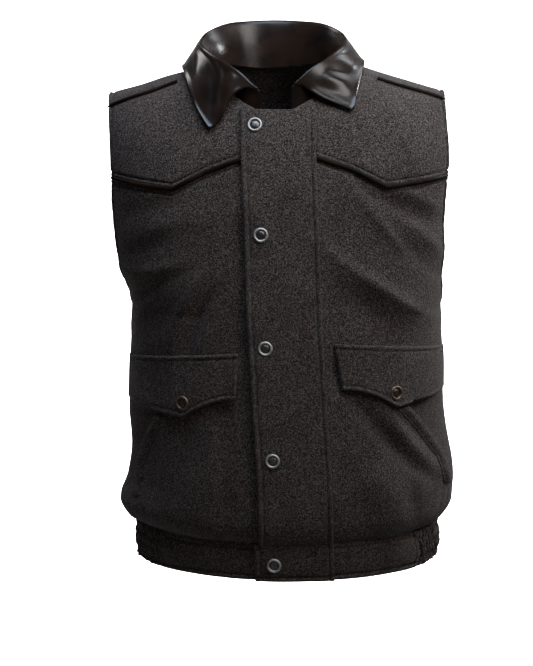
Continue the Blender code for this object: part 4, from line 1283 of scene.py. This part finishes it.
def build_studio():
    """Pale floor that turns up into a wall, soft lamps and a dim, even sky."""
    bend = np.radians(np.linspace(0, 90, 17))
    depth = np.concatenate([[-20.0, 3.0], 3.0 + 1.5 * np.sin(bend[1:]), [4.5]])
    height = np.concatenate([[0.0, 0.0], 1.5 - 1.5 * np.cos(bend[1:]), [4.0]]) + FLOOR_Z
    points = np.array([(x, y, z) for y, z in zip(depth, height) for x in (-20.0, 20.0)])
    faces = [[2 * row, 2 * row + 1, 2 * row + 3, 2 * row + 2] for row in range(len(depth) - 1)]
    mesh = bpy.data.meshes.new("studio_floor")
    mesh.from_pydata(points.tolist(), [], faces)
    mesh.shade_smooth()
    made, tree, shader, coords = new_material("pale_floor")
    tone = ramp(tree, noise(tree, coords, 3.0, 2.0), ((0.3, grey(0.88)), (0.7, grey(0.92))))
    fill(tree, shader, {"Base Color": tone, "Roughness": 0.9})
    mesh.materials.append(made)
    floor = bpy.data.objects.new("studio_floor", mesh)
    bpy.context.collection.objects.link(floor)
    for row in LAMP_ROWS:
        add_light(*row)
    world = bpy.data.worlds.new("studio_air")
    world.use_nodes = True
    world.node_tree.nodes["Background"].inputs["Color"].default_value = (1.0, 1.0, 1.0, 1.0)
    world.node_tree.nodes["Background"].inputs["Strength"].default_value = 0.18
    bpy.context.scene.world = world
    bpy.context.scene.view_settings.view_transform = "Standard"


def build_camera():
    """View of the photo: a long lens a little above the vest, looking down on it."""
    lens = bpy.data.cameras.new("photo_view")
    lens.lens = 111.03
    lens.sensor_width = 36.0
    lens.clip_end = 50.0
    camera = bpy.data.objects.new("photo_view", lens)
    down = math.radians(9.5)
    camera.location = (-0.0174, -2.65 * math.cos(down), -0.3368 + 2.65 * math.sin(down))
    camera.rotation_euler = (math.radians(90) - down, 0.0, 0.0)
    bpy.context.collection.objects.link(camera)
    bpy.context.scene.camera = camera


wool = make_wool()
leather = make_leather("collar_leather", 0.26, 0.1)
piping = make_leather("piping_leather", 0.55, 0.02)
thread = make_thread("dark_thread", (0.003, 0.0024, 0.0022), (0.01, 0.008, 0.0072))
leather_thread = make_thread("collar_thread", (0.02, 0.017, 0.016), (0.055, 0.05, 0.05))
ring = make_metal("snap_ring", (0.235, 0.222, 0.208), (0.145, 0.135, 0.125), 0.58)
dome = make_metal("snap_dome", (0.066, 0.064, 0.063), (0.03, 0.029, 0.028), 0.42)
flap_ring = make_metal("flap_snap_ring", (0.085, 0.058, 0.042), (0.04, 0.026, 0.018), 0.48)
flap_dome = make_metal("flap_snap_dome", (0.05, 0.038, 0.032), (0.016, 0.013, 0.011), 0.4)

build_fronts()
build_back()
build_waistband()
build_pipings()
build_placket()
for side_name, side_sign in SIDES.items():
    build_flap(side_name, side_sign)
    build_welt(side_name, side_sign)
for snap_number, (snap_offset, snap_z) in enumerate(SNAP_ROWS, start=1):
    snap_rise = placket_stand(snap_offset, snap_z) - 0.0002
    build_snap(f"snap_{snap_number}", snap_offset, snap_z, (ring, dome), snap_rise)
build_collar_stitches(*build_collar())
build_stitches()
build_armhole_stitches()
build_studio()
build_camera()
